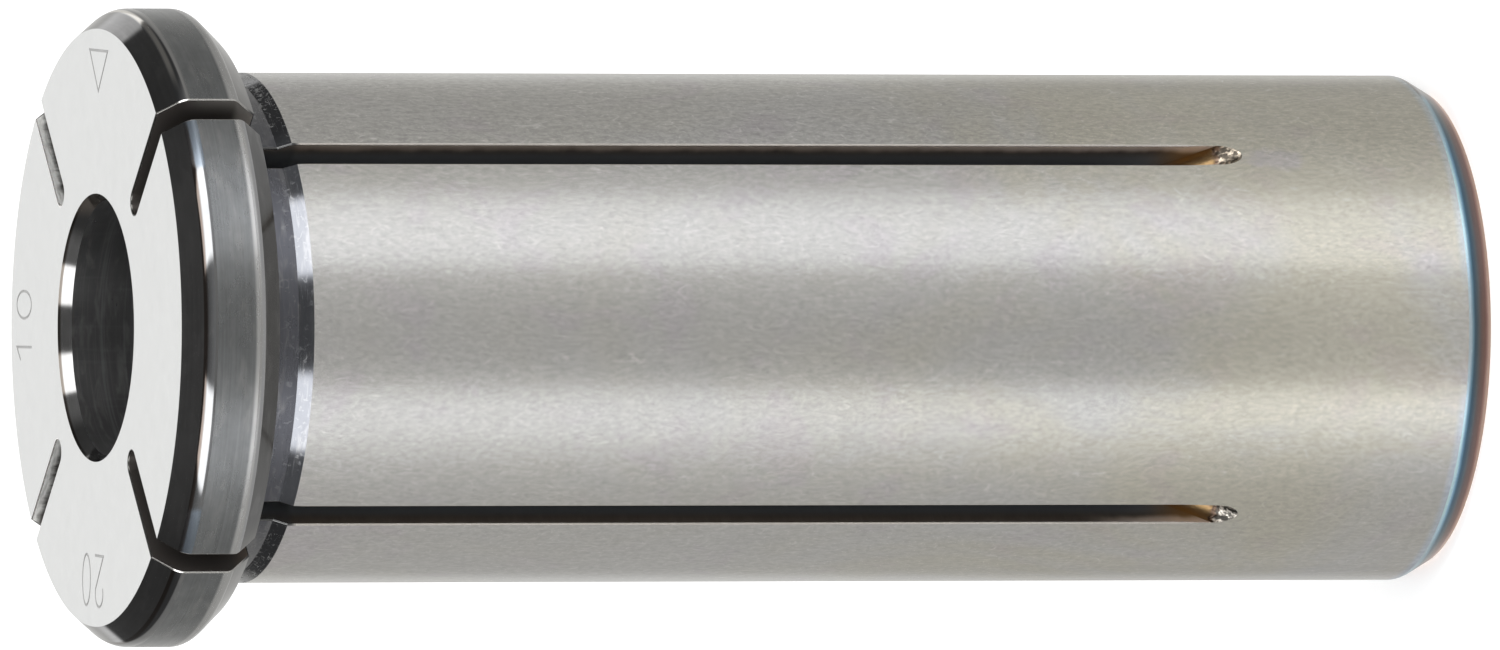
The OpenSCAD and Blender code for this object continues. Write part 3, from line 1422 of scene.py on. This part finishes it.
@dataclass
class Sleeve:
    """The whole sleeve: the turned body, its four slits and the marks on its face.

    It is made of patches that reach from the middle of a slit halfway to the next, each of them copied
    to both sides of every slit. The angles across give the columns of a slit's half-round floor.
    """

    section: Section
    marks: FaceMarks = FaceMarks()
    slit_angles: tuple[float, ...] = (45.0, 135.0, 225.0, 315.0)
    slit_half: float = 0.5 * MM
    slit_floor: float = 6.7 * MM
    saw_radius: float = 20.0 * MM
    saw_height: float = 20.6542 * MM
    edge_break: float = 0.07 * MM
    collar_break: float = 0.06 * MM
    break_fade: float = 1.6 * MM
    ring_height: float = 9.0 * MM
    long_from: float = 15.0 * MM
    nose_columns: int = 6
    columns: int = 26
    break_steps: int = 4
    fade_steps: int = 8
    long_steps: int = 8
    ring_steps: int = 4
    nose_steps: int = 3
    face_steps: int = 6
    floor_steps: int = 14
    run_out_steps: int = 24
    join_within: float = 1e-6

    def __post_init__(self) -> None:
        """Works out where the saw left the shank, from the section and the size of the saw."""
        self.skin = Skin()
        self.strips = self.section.strips()
        self.mid_floor = self.slit_floor + self.slit_half
        self.saw_axis = self.slit_floor + self.saw_radius
        self.across = fan(0.0, math.pi / 2, self.nose_columns)
        self.side = self.slit_half * np.sin(self.across)
        self.saw_rim = self.saw_radius - self.slit_half + self.slit_half * np.cos(self.across)
        out = np.sqrt(self.section.shank_radius**2 - self.side**2)
        self.saw_ends = np.arccos((self.saw_axis - out) / self.saw_rim)
        self.nose = self.saw_height - self.saw_rim * np.sin(self.saw_ends)

    def _copies(self, patch: np.ndarray) -> Iterator[np.ndarray]:
        """Both halves of a patch at each of the slits.

        Args:
            patch: The points or normals of one half, beside a slit that points along X.

        Returns:
            The same values for each copy.
        """
        for angle in np.radians(self.slit_angles):
            cos, sin = math.cos(angle), math.sin(angle)
            turn = np.array([[cos, sin, 0.0], [-sin, cos, 0.0], [0.0, 0.0, 1.0]])
            for half in (1.0, -1.0):
                yield (patch * [1.0, half, 1.0]) @ turn

    def _patch(self, zone: Zone, points: np.ndarray, normals: np.ndarray) -> None:
        """Adds all copies of a grid that lies beside a slit."""
        for copy, looks in zip(self._copies(points), self._copies(normals)):
            self.skin.grid(zone, copy, looks)

    def _break_at(self, height: float) -> float:
        """The width of the broken edge, which fades out towards the tip of the slit.

        Args:
            height: The height above the rear end.

        Returns:
            The width at that height.
        """
        share = share_of(height, self.nose[-1], self.nose[-1] + self.break_fade)
        back = self.section.back
        collar = share_of(height, back - self.section.groove_rounding, back)
        width = self.edge_break + (self.collar_break - self.edge_break) * collar
        return width * share * share * (3 - 2 * share)

    def _side_angles(self, radius: float, height: float) -> np.ndarray:
        """The columns beside a slit, as angles from its middle to halfway to the next slit."""
        first = math.asin((self.slit_half + self._break_at(height)) / radius)
        return fan(first, math.pi / len(self.slit_angles), self.columns)

    def _ring_angles(self) -> np.ndarray:
        """The columns of the whole ring behind the slits."""
        inner = np.arcsin(self.side / self.section.shank_radius)
        return np.concatenate([inner, self._side_angles(self.section.shank_radius, 0.0)[1:]])

    def _turned(self, strip: Strip, angles: np.ndarray) -> None:
        """Adds a strip turned round the axis.

        Args:
            strip: The strip.
            angles: The columns' angles, in a row for each of its stations.
        """
        cos, sin = np.cos(angles), np.sin(angles)
        radius, height = strip.points[:, :1], np.broadcast_to(strip.points[:, 1:], angles.shape)
        looks, lift = strip.normals[:, :1], np.broadcast_to(strip.normals[:, 1:], angles.shape)
        points = np.stack([radius * cos, radius * sin, height], 2)
        self._patch(strip.zone, points, np.stack([looks * cos, looks * sin, lift], 2))

    def _whole(self, strip: Strip) -> None:
        """Adds a strip that no slit cuts."""
        self._turned(strip, np.tile(self._ring_angles(), (len(strip.points), 1)))

    def _broken_edge(self, strip: Strip) -> np.ndarray:
        """Adds the broken edge beside a strip that the slits cut.

        Args:
            strip: The strip.

        Returns:
            Where the edge meets the wall of the slit.
        """
        radius, height = strip.points.T
        width = np.array([self._break_at(at) for at in height])
        side = self.slit_half + width
        edge = np.stack([np.sqrt(radius**2 - side**2), side, height], 1)
        inset = np.insert(strip.insets, 1, 0.0, axis=1)
        looks = np.insert(strip.normals, 1, 0.0, axis=1)
        return self._roll(edge, inset, looks, repeated((0.0, -1.0, 0.0), len(edge)), width)

    def _roll(
        self, edge: np.ndarray, inset: np.ndarray, looks: np.ndarray, into: np.ndarray, width: np.ndarray
    ) -> np.ndarray:
        """Adds a quarter-round strip from a line on a surface to a line on the slit's wall.

        Args:
            edge: The line on the surface.
            inset: At each point, the way into the steel, reversed.
            looks: The surface's normal at each point.
            into: At each point, the way into the slit.
            width: The radius of the quarter round at each point.

        Returns:
            The line on the wall.
        """
        angles = fan(0.0, math.pi / 2, self.break_steps)[None, :, None]
        width = width[:, None, None]
        middle = edge[:, None] - width * inset[:, None]
        rise, slide = np.cos(angles), np.sin(angles)
        points = middle + width * (inset[:, None] * rise + into[:, None] * slide)
        normals = looks[:, None] * rise + into[:, None] * slide
        normals /= np.linalg.norm(normals, axis=2)[:, :, None]
        self._patch(Zone.SLIT_EDGE, points, normals)
        return points[:, -1]

    def _cut_strips(self) -> list[Strip]:
        """The strips that the slits cut, from the tips of the slits to the front face.

        Returns:
            The strips, in their order along the sleeve.
        """
        low = self.nose[-1]
        top = self.strips[Zone.SHANK].points[-1, 1]
        fading = fan(low, low + self.break_fade, self.fade_steps)[1:]
        stations = np.concatenate([fading, fan(self.long_from, top, self.long_steps)[:-1]])
        zones = list(self.strips)
        cut = zones[zones.index(Zone.CONE) : zones.index(Zone.FACE)]
        shank = self.strips[Zone.SHANK].part(low, top, stations)
        return [shank, *(self.strips[zone] for zone in cut)]

    def _face_edge(self) -> tuple[np.ndarray, np.ndarray]:
        """Adds the broken edges of the slits on the front face.

        Returns:
            The edge on the face from the rim to the slit's floor, and the line on the wall below it.
        """
        width, front = self.collar_break, self.section.length
        side = self.slit_half + width
        up = (0.0, 0.0, 1.0)
        run = fan(math.sqrt(self.section.face_radii[1] ** 2 - side**2), self.mid_floor, self.face_steps)
        straight = np.stack([run, np.full_like(run, side), np.full_like(run, front)], 1)
        ups = repeated(up, len(run))
        inset = ups.copy()
        inset[0, [0, 2]] = self.strips[Zone.FACE].insets[0]
        aside = repeated((0.0, -1.0, 0.0), len(run))
        wall = self._roll(straight, inset, ups, aside, np.full_like(run, width))
        cos, sin = np.cos(self.across[::-1]), np.sin(self.across[::-1])
        bend = np.stack([self.mid_floor - side * cos, side * sin, np.full_like(cos, front)], 1)
        ups = repeated(up, len(cos))
        self._roll(bend, ups, ups, np.stack([cos, -sin, 0.0 * cos], 1), np.full_like(cos, width))
        return np.concatenate([straight, bend[1:]]), wall

    def _floor(self) -> np.ndarray:
        """Adds the floor of a slit and the saw's run-out.

        Returns:
            The line in which the floor and the run-out meet the wall.
        """
        cos, sin = np.cos(self.across), np.sin(self.across)
        heights = fan(self.section.length - self.collar_break, self.saw_height, self.floor_steps)
        across = np.stack([self.mid_floor - self.slit_half * cos, self.side, 0.0 * cos], 1)
        points = across + heights[:, None, None] * np.array([0.0, 0.0, 1.0])
        looks = np.stack([cos, -sin, 0.0 * cos], 1)
        self._patch(Zone.SLIT_FLOOR, points, np.broadcast_to(looks, points.shape))
        angles = fan(0.0, 1.0, self.run_out_steps)[:, None] * self.saw_ends
        side = np.broadcast_to(self.side, angles.shape)
        inward, along = self.saw_rim * np.cos(angles), self.saw_rim * np.sin(angles)
        out = np.stack([self.saw_axis - inward, side, self.saw_height - along], 2)
        looks = [cos * np.cos(angles), np.broadcast_to(-sin, angles.shape), cos * np.sin(angles)]
        self._patch(Zone.RUN_OUT, out, np.stack(looks, 2))
        return np.concatenate([points[:, -1], out[1:, -1]])

    def _nose_patch(self) -> None:
        """Adds the shank between the tips of the slits and the whole ring."""
        angles = self._ring_angles()
        low = np.full(len(angles), self.nose[-1])
        low[: len(self.nose)] = self.nose
        rows = low + fan(0.0, 1.0, self.nose_steps)[:, None] * (self.ring_height - low)
        looks = np.broadcast_to(arc(1.0, angles), (*rows.shape, 3))
        points = self.section.shank_radius * looks
        points[:, :, 2] = rows
        self._patch(Zone.SHANK, points, looks)

    def _border(self, edge: np.ndarray) -> list[np.ndarray]:
        """The lines that bound the front face, seen from the front.

        Args:
            edge: The line of one slit's edge on the face, from the rim to the slit's floor.

        Returns:
            The loop along the rim and the slits, and the loop round the bore.
        """
        inner, outer = self.section.face_radii
        rim = arc(outer, self._side_angles(outer, self.section.length))
        hole = arc(inner, self._ring_angles())
        notches, rims, holes = ([copy[:, :2] for copy in self._copies(line)] for line in (edge, rim, hole))
        outline = []
        middle = []
        for i in range(0, len(notches), 2):
            outline += [rims[i + 1][::-1], notches[i + 1][1:], notches[i][::-1][1:], rims[i][1:-1]]
            middle += [holes[i + 1][::-1], holes[i][1:-1]]
        return [np.concatenate(outline), np.concatenate(middle)]

    def _face(self, edge: np.ndarray) -> None:
        """Adds the front face, with its marks as grooves whose middle line is sunk.

        Args:
            edge: The line of one slit's edge on the face, from the rim to the slit's floor.
        """
        border = self._border(edge)
        strokes = self.marks.strokes()
        bounds = [*border, *(loop for stroke in strokes for loop in stroke.loops())]
        lines = [(line, True) for line in bounds] + [(stroke.points, stroke.closed) for stroke in strokes]
        first_sunk = sum(len(line) for line in bounds)
        edges: list[tuple[int, int]] = []
        start = 0
        for line, closed in lines:
            count = len(line)
            edges += [(start + i, start + (i + 1) % count) for i in range(count if closed else count - 1)]
            start += count
        flat = [Vector(point) for point in np.concatenate([line for line, _ in lines]) / MM]
        verts, _, faces, sources, _, _ = delaunay_2d_cdt(flat, edges, [], 0, self.join_within)
        corners_of = np.array(faces)
        places = np.array([vert[:] for vert in verts]) * MM
        sunk = np.array([any(i >= first_sunk for i in source) for source in sources])
        points = np.column_stack([places, self.section.length - self.marks.depth * sunk])
        middles = places[corners_of].mean(1)
        in_mark = np.any([inside(middles, stroke.loops()) for stroke in strokes], 0)
        on_face = inside(middles, border) & ~in_mark
        ups = repeated((0.0, 0.0, 1.0), len(points))
        self.skin.add(Zone.FACE, points, ups, [tuple(face) for face in corners_of[on_face].tolist()])
        for corners in points[corners_of[in_mark]]:
            slope = np.cross(corners[1] - corners[0], corners[2] - corners[0])
            slope *= math.copysign(1.0, slope[2]) / np.linalg.norm(slope)
            self.skin.add(Zone.MARK, corners, repeated(slope, len(corners)), [(0, 1, 2)])

    def build(self, materials: Mapping[Zone, bpy.types.Material]) -> bpy.types.Object:
        """Builds the sleeve.

        Args:
            materials: The material of each zone.

        Returns:
            The piece.
        """
        shank = self.strips[Zone.SHANK]
        low = shank.points[0, 1]
        rows = fan(low, self.ring_height, self.ring_steps)
        self._whole(shank.part(low, self.ring_height, rows[1:-1]))
        for zone in (Zone.REAR_END, Zone.END_CHAMFER, Zone.END_EDGE, Zone.MOUTH, Zone.BORE, Zone.TAIL):
            self._whole(self.strips[zone])
        self._nose_patch()
        wall = []
        for strip in self._cut_strips():
            rows = [self._side_angles(radius, height) for radius, height in strip.points]
            self._turned(strip, np.array(rows))
            wall.append(self._broken_edge(strip))
        face_edge, face_wall = self._face_edge()
        outline = np.concatenate([*wall, face_wall, self._floor()])
        steps = np.linalg.norm(np.diff(outline, axis=0, prepend=outline[-1:]), axis=1)
        outline = outline[steps > 1.5 * SAME_POINT]
        looks = repeated((0.0, -1.0, 0.0), len(outline))
        for copy, normals in zip(self._copies(outline), self._copies(looks)):
            self.skin.add(Zone.SLIT_WALL, copy, normals, [tuple(range(len(outline)))])
        self._face(face_edge)
        return self.skin.build("reducing_sleeve", materials)


# Studio


def grey(level: float) -> Colour:
    """The grey of a level."""
    return (level, level, level)


@dataclass(frozen=True)
class Viewpoint:
    """The photographer's place: how the camera stands to the sleeve, which lies across the picture."""

    azimuth: float = math.radians(-87.8)
    tilt: float = math.radians(17.8015)
    out: float = 1.117047
    up: float = 0.386294
    aside: float = 0.000107
    lens: float = 714.782
    sensor: float = 36.0
    clip: Span = (0.05, 50.0)

    @property
    def towards(self) -> Vector:
        """The level direction from the sleeve's axis to the camera."""
        return Vector((math.cos(self.azimuth), math.sin(self.azimuth), 0.0))

    @property
    def side(self) -> Vector:
        """The level direction that the picture shows as up."""
        return Vector((-math.sin(self.azimuth), math.cos(self.azimuth), 0.0))

    def make(self) -> bpy.types.Object:
        """Makes the camera and hands the scene to it.

        Returns:
            The camera.
        """
        axis = Vector((0.0, 0.0, 1.0))
        data = bpy.data.cameras.new("camera")
        data.sensor_fit = "HORIZONTAL"
        data.sensor_width = self.sensor
        data.lens = self.lens
        data.clip_start, data.clip_end = self.clip
        camera = bpy.data.objects.new("camera", data)
        bpy.context.scene.collection.objects.link(camera)
        right = self.towards * math.sin(self.tilt) - axis * math.cos(self.tilt)
        back = self.towards * math.cos(self.tilt) + axis * math.sin(self.tilt)
        turn = Matrix((right, self.side, back)).transposed()
        place = self.towards * self.out + self.side * self.aside + axis * self.up
        camera.matrix_world = Matrix.Translation(place) @ turn.to_4x4()
        bpy.context.scene.camera = camera
        return camera


@dataclass(frozen=True)
class Panel:
    """A lit or dark board of the studio, as the turn and height that it covers, in degrees."""

    turn: Span
    height: Span
    glow: float
    fade: float = 6.0


@dataclass(frozen=True)
class Lamp:
    """A soft lamp that hangs over the floor, turned from the camera by some degrees."""

    name: str
    turn: float
    power: float
    size: float = 0.5
    away: float = 0.6
    height: float = 0.8

    def make(self, azimuth: float) -> bpy.types.Object:
        """Hangs the lamp.

        Args:
            azimuth: The direction of the camera, in radians.

        Returns:
            The lamp.
        """
        data = bpy.data.lights.new(self.name, "AREA")
        data.shape = "SQUARE"
        data.size = self.size
        data.energy = self.power
        lamp = bpy.data.objects.new(self.name, data)
        bpy.context.scene.collection.objects.link(lamp)
        angle = azimuth + math.radians(self.turn)
        lamp.location = (self.away * math.cos(angle), self.away * math.sin(angle), self.height)
        lamp.rotation_euler = (-lamp.location).to_track_quat("-Z", "Y").to_euler()
        lamp.visible_glossy = False
        return lamp


@dataclass(frozen=True)
class Floor:
    """The pale floor, which keeps the sleeve's shadow."""

    radius: float = 8.0
    sides: int = 64
    pale: float = 0.8
    grain: Grain = Grain((0.05, 0.05, 0.05), 3.0)
    grain_share: float = 0.01
    roughness: float = 0.5
    lift: float = 0.34

    def make(self) -> bpy.types.Object:
        """Makes the floor.

        Returns:
            The floor.
        """
        mesh = bpy.data.meshes.new("floor")
        angles = fan(0.0, 2 * math.pi, self.sides)[:-1]
        points = self.radius * np.stack([np.cos(angles), np.sin(angles), 0.0 * angles], 1)
        mesh.from_pydata(points.tolist(), [], [tuple(range(self.sides))])
        mesh.materials.append(self._paper())
        floor = bpy.data.objects.new("floor", mesh)
        bpy.context.scene.collection.objects.link(floor)
        floor.visible_glossy = False
        return floor

    def _paper(self) -> bpy.types.Material:
        """Makes the floor's paper, which the camera sees lifted towards white.

        Returns:
            The material.
        """
        material = bpy.data.materials.new("pale_floor")
        tree = Tree(material)
        level = self.pale + Place(tree).sway(self.grain) * self.grain_share
        sockets = {"Color": tree.grey(level), "Roughness": self.roughness}
        paper = tree.signal("ShaderNodeBsdfDiffuse", {}, sockets)
        glow = tree.mix(tree.ray("Is Camera Ray"), grey(0.0), grey(self.lift))
        lift = tree.signal("ShaderNodeEmission", {}, {"Color": glow, "Strength": 1.0})
        both = tree.signal("ShaderNodeAddShader", {}, {0: paper, 1: lift})
        tree.node("ShaderNodeOutputMaterial", {}, {"Surface": both})
        return material


@dataclass(frozen=True)
class Studio:
    """Two soft boxes, a white backdrop and dark boards between them, round a pale table.

    Turns are in degrees from the camera, and heights in degrees above the horizon.
    """

    viewpoint: Viewpoint
    ambient: float = 0.9
    dark: float = 0.11
    horizon: float = 0.6
    horizon_heights: Span = (62.0, -12.0)
    horizon_turns: Span = (104.0, 78.0)
    under: float = 0.5
    under_heights: Span = (-42.0, -50.0)
    panels: tuple[Panel, ...] = (
        Panel((-78.0, 78.0), (48.0, 74.0), 0.17, 16.0),
        Panel((25.0, 63.0), (-100.0, 50.0), 5.0, 5.0),
        Panel((-60.0, -22.0), (-100.0, 50.0), 5.0, 5.0),
        Panel((142.0, 200.0), (-5.0, 100.0), 1.08, 3.0),
        Panel((-200.0, -157.0), (-5.0, 100.0), 1.08, 3.0),
        Panel((-200.0, 200.0), (75.0, 100.0), 0.7),
    )
    table_heights: Span = (0.5, -4.5)
    table: tuple[Span, ...] = (
        (-180.0, 0.68), (-160.0, 0.68), (-145.0, 0.5), (-130.0, 0.53), (-100.0, 0.53), (-88.0, 0.54),
        (-78.0, 0.57), (-70.0, 0.62), (-62.0, 0.65), (-54.0, 0.72), (-46.0, 0.86), (-34.0, 0.85),
        (-27.0, 0.61), (-24.0, 0.5), (0.0, 0.51), (16.0, 0.58), (23.0, 0.62), (26.0, 0.6),
        (29.0, 0.83), (36.0, 0.93), (45.0, 0.96), (54.0, 0.92), (61.0, 0.78), (68.0, 0.6),
        (76.0, 0.6), (86.0, 0.51), (100.0, 0.46), (130.0, 0.45), (145.0, 0.52), (160.0, 0.68),
        (180.0, 0.66),
    )
    warm: Colour = (1.0, 0.99, 0.955)
    cool: Colour = (0.995, 1.0, 1.01)
    cool_levels: Span = (0.6, 0.9)

    def _table_glow(self, tree: Tree, turn: Signal) -> Signal:
        """What the metal sees below the horizon: the pale table, lit by the soft boxes.

        Args:
            tree: The world's nodes.
            turn: The turn from the camera, in degrees.

        Returns:
            The colour of the light.
        """
        most = max(level for _, level in self.table)
        start, full = self.cool_levels
        stops = []
        for place, level in self.table:
            share = min(max((level - start) / (full - start), 0.0), 1.0)
            tint = [w + (c - w) * share for w, c in zip(self.warm, self.cool)]
            stops.append(((place + 180.0) / 360.0, tuple(t * level / most for t in tint)))
        ramp = tree.signal("ShaderNodeValToRGB", {"stops": stops}, {0: (turn + 180.0) / 360.0})
        return tree.mix(1.0, ramp, grey(most), "MULTIPLY")

    def _reflected(self, tree: Tree) -> Signal:
        """What the metal sees all round.

        Args:
            tree: The world's nodes.

        Returns:
            The colour of the light.
        """
        ray = tree.signal("ShaderNodeTexCoord", {}, {}, "Generated")
        side = tree.dot(ray, self.viewpoint.side)
        turn = tree.math("ARCTAN2", side, tree.dot(ray, self.viewpoint.towards)) * math.degrees(1.0)
        rise = tree.signal("ShaderNodeSeparateXYZ", {}, {0: ray}, 2)
        height = tree.math("ARCSINE", rise, 0.0) * math.degrees(1.0)
        low = height.rise(*self.horizon_heights) * turn.size().rise(*self.horizon_turns)
        level = self.dark + low * (self.horizon - self.dark)
        for panel in self.panels:
            covered = turn.band(*panel.turn, panel.fade) * height.band(*panel.height, panel.fade)
            level = level + (panel.glow - level) * covered
        below = height.rise(*self.table_heights)
        studio = tree.mix(below, tree.grey(level), self._table_glow(tree, turn))
        return tree.mix(height.rise(*self.under_heights), studio, grey(self.under))

    def make_world(self) -> None:
        """Makes the world: white to the camera, even for the floor, and the studio in the metal."""
        world = bpy.data.worlds.new("studio")
        bpy.context.scene.world = world
        world.cycles.sampling_method = "NONE"
        tree = Tree(world)
        shiny = tree.math("MAXIMUM", tree.ray("Is Glossy Ray"), tree.ray("Is Transmission Ray"))
        seen = tree.mix(shiny, grey(self.ambient), self._reflected(tree))
        seen = tree.mix(tree.ray("Is Camera Ray"), seen, grey(1.0))
        glow = tree.signal("ShaderNodeBackground", {}, {"Color": seen, "Strength": 1.0})
        tree.node("ShaderNodeOutputWorld", {}, {"Surface": glow})

    def furnish(self) -> list[bpy.types.Object]:
        """Lays the floor and hangs the lamps on both sides of the camera.

        Returns:
            The floor and the lamps.
        """
        lamps = (Lamp("lamp_left", -55.0, 2.2), Lamp("lamp_right", 50.0, 2.8))
        return [Floor().make(), *(lamp.make(self.viewpoint.azimuth) for lamp in lamps)]


def finishes() -> dict[Zone, bpy.types.Material]:
    """Makes the materials.

    Returns:
        The material of each zone.
    """
    ring_lay = (0.15, 0.15, 12.0)
    soft_lay = (0.5, 0.5, 6.0)
    dressed: dict[Finish, tuple[Zone, ...]] = {
        Finish(
            "ground_face", (0.65, 0.655, 0.645), 0.2,
            lay=(2.2, 9.0, 1.0), marks_depth=0.25, mottle=0.04, fresh=0.04,
        ): (Zone.REAR_END, Zone.FACE),
        Tempered(
            "tempered_chamfer", (0.5, 0.4, 0.35), 0.22,
            anisotropy=0.3, lay=(0.3, 0.3, 12.0), marks_depth=0.4, mottle=0.08,
        ): (Zone.END_CHAMFER, Zone.END_EDGE),
        GroundShank(
            "ground_shank", (0.618, 0.612, 0.602), 0.22,
            anisotropy=0.6, lay=(0.12, 0.12, 9.0), marks_depth=2.5, mottle=0.02, fresh=0.04,
        ): (Zone.SHANK,),
        NickedSkin("rubbed_cone", (0.14, 0.145, 0.158), 0.12, lay=soft_lay, mottle=0.1): (Zone.CONE,),
        NickedSkin(
            "relief_skin", (0.12, 0.123, 0.14), 0.28,
            anisotropy=0.5, lay=(0.15, 0.15, 9.0), marks_depth=0.6, mottle=0.1,
        ): (Zone.GROOVE, Zone.GROOVE_CORNER),
        DarkSkin(
            "back_skin", (0.169, 0.167, 0.163), 0.08,
            anisotropy=0.2, lay=ring_lay, marks_depth=0.3, mottle=0.16, fresh=0.03,
        ): (Zone.COLLAR_BACK, Zone.BACK_CHAMFER),
        Finish("worn_edge", grey(0.5), 0.2, lay=soft_lay, marks_depth=0.4, fresh=0.04): (Zone.BACK_EDGE,),
        RimSkin(
            "rim_skin", (0.2, 0.207, 0.212), 0.28,
            anisotropy=0.6, lay=ring_lay, marks_depth=0.6, mottle=0.22,
        ): (Zone.RIM,),
        PolishedEdge(
            "front_edge", (0.2, 0.203, 0.207), 0.08,
            lay=soft_lay, marks_depth=0.2, mottle=0.05, fresh=0.02,
            worn=(0.33, 0.33, 0.33), worn_depth=(1.04, 1.2, 0.14), reach=Area(x=(5.0, 9.0)),
        ): (Zone.FRONT_EDGE,),
        DarkSkin(
            "hardened_skin", (0.195, 0.193, 0.191), 0.08,
            anisotropy=0.2, lay=ring_lay, marks_depth=0.3, mottle=0.18, fresh=0.03,
        ): (Zone.FRONT_CHAMFER,),
        MouthSkin(
            "mouth_skin", (0.232, 0.23, 0.227), 0.1,
            lay=soft_lay, marks_depth=0.3, mottle=0.1, fresh=0.03,
        ): (Zone.MOUTH,),
        HonedBore(
            "honed_bore", (0.11, 0.11, 0.11), 0.3,
            anisotropy=0.4, lay=(0.15, 0.15, 5.0), marks_depth=1.5, mottle=0.2, fresh=0.06, metallic=0.6,
        ): (Zone.BORE, Zone.TAIL),
        SlitEdge(
            "slit_edge", (0.62, 0.585, 0.545), 0.25,
            lay=soft_lay, marks_depth=0.3, mottle=0.1, fresh=0.04,
        ): (Zone.SLIT_EDGE,),
        Sawn(
            "sawn_wall", (0.124, 0.101, 0.083), 0.5,
            lay=(1.0, 1.0, 6.0), marks_depth=3.0, mottle=0.2, fresh=0.06, metallic=0.7,
        ): (Zone.SLIT_WALL, Zone.SLIT_FLOOR),
        RunOut(
            "run_out", (0.3, 0.28, 0.25), 0.42,
            lay=(3.0, 3.0, 6.0), marks_depth=20.0, mottle=0.2, fresh=0.06,
        ): (Zone.RUN_OUT,),
        Finish("engraved_line", (0.4, 0.4, 0.39), 0.35, lay=(4.0, 4.0, 4.0), mottle=0.1): (Zone.MARK,),
    }
    found: dict[Zone, bpy.types.Material] = {}
    for finish, zones in dressed.items():
        found.update(dict.fromkeys(zones, finish.make()))
    return found


def main() -> None:
    """Builds the sleeve, the studio and the camera."""
    logging.basicConfig(level=logging.INFO, format="%(name)s: %(message)s")
    low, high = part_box("sleeve")
    section = Section(length=high.z - low.z, collar_radius=(high.x - low.x) / 2)
    sleeve = Sleeve(section).build(finishes())
    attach(sleeve, "root")
    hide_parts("sleeve")
    LOG.info("%s: %d points, %d faces", sleeve.name, len(sleeve.data.vertices), len(sleeve.data.polygons))
    viewpoint = Viewpoint()
    studio = Studio(viewpoint)
    studio.make_world()
    for made in (*studio.furnish(), viewpoint.make()):
        LOG.info("%s at %s", made.name, tuple(round(c, 3) for c in made.location))
    bpy.context.scene.view_settings.view_transform = "Standard"


if __name__ == "__main__":
    main()
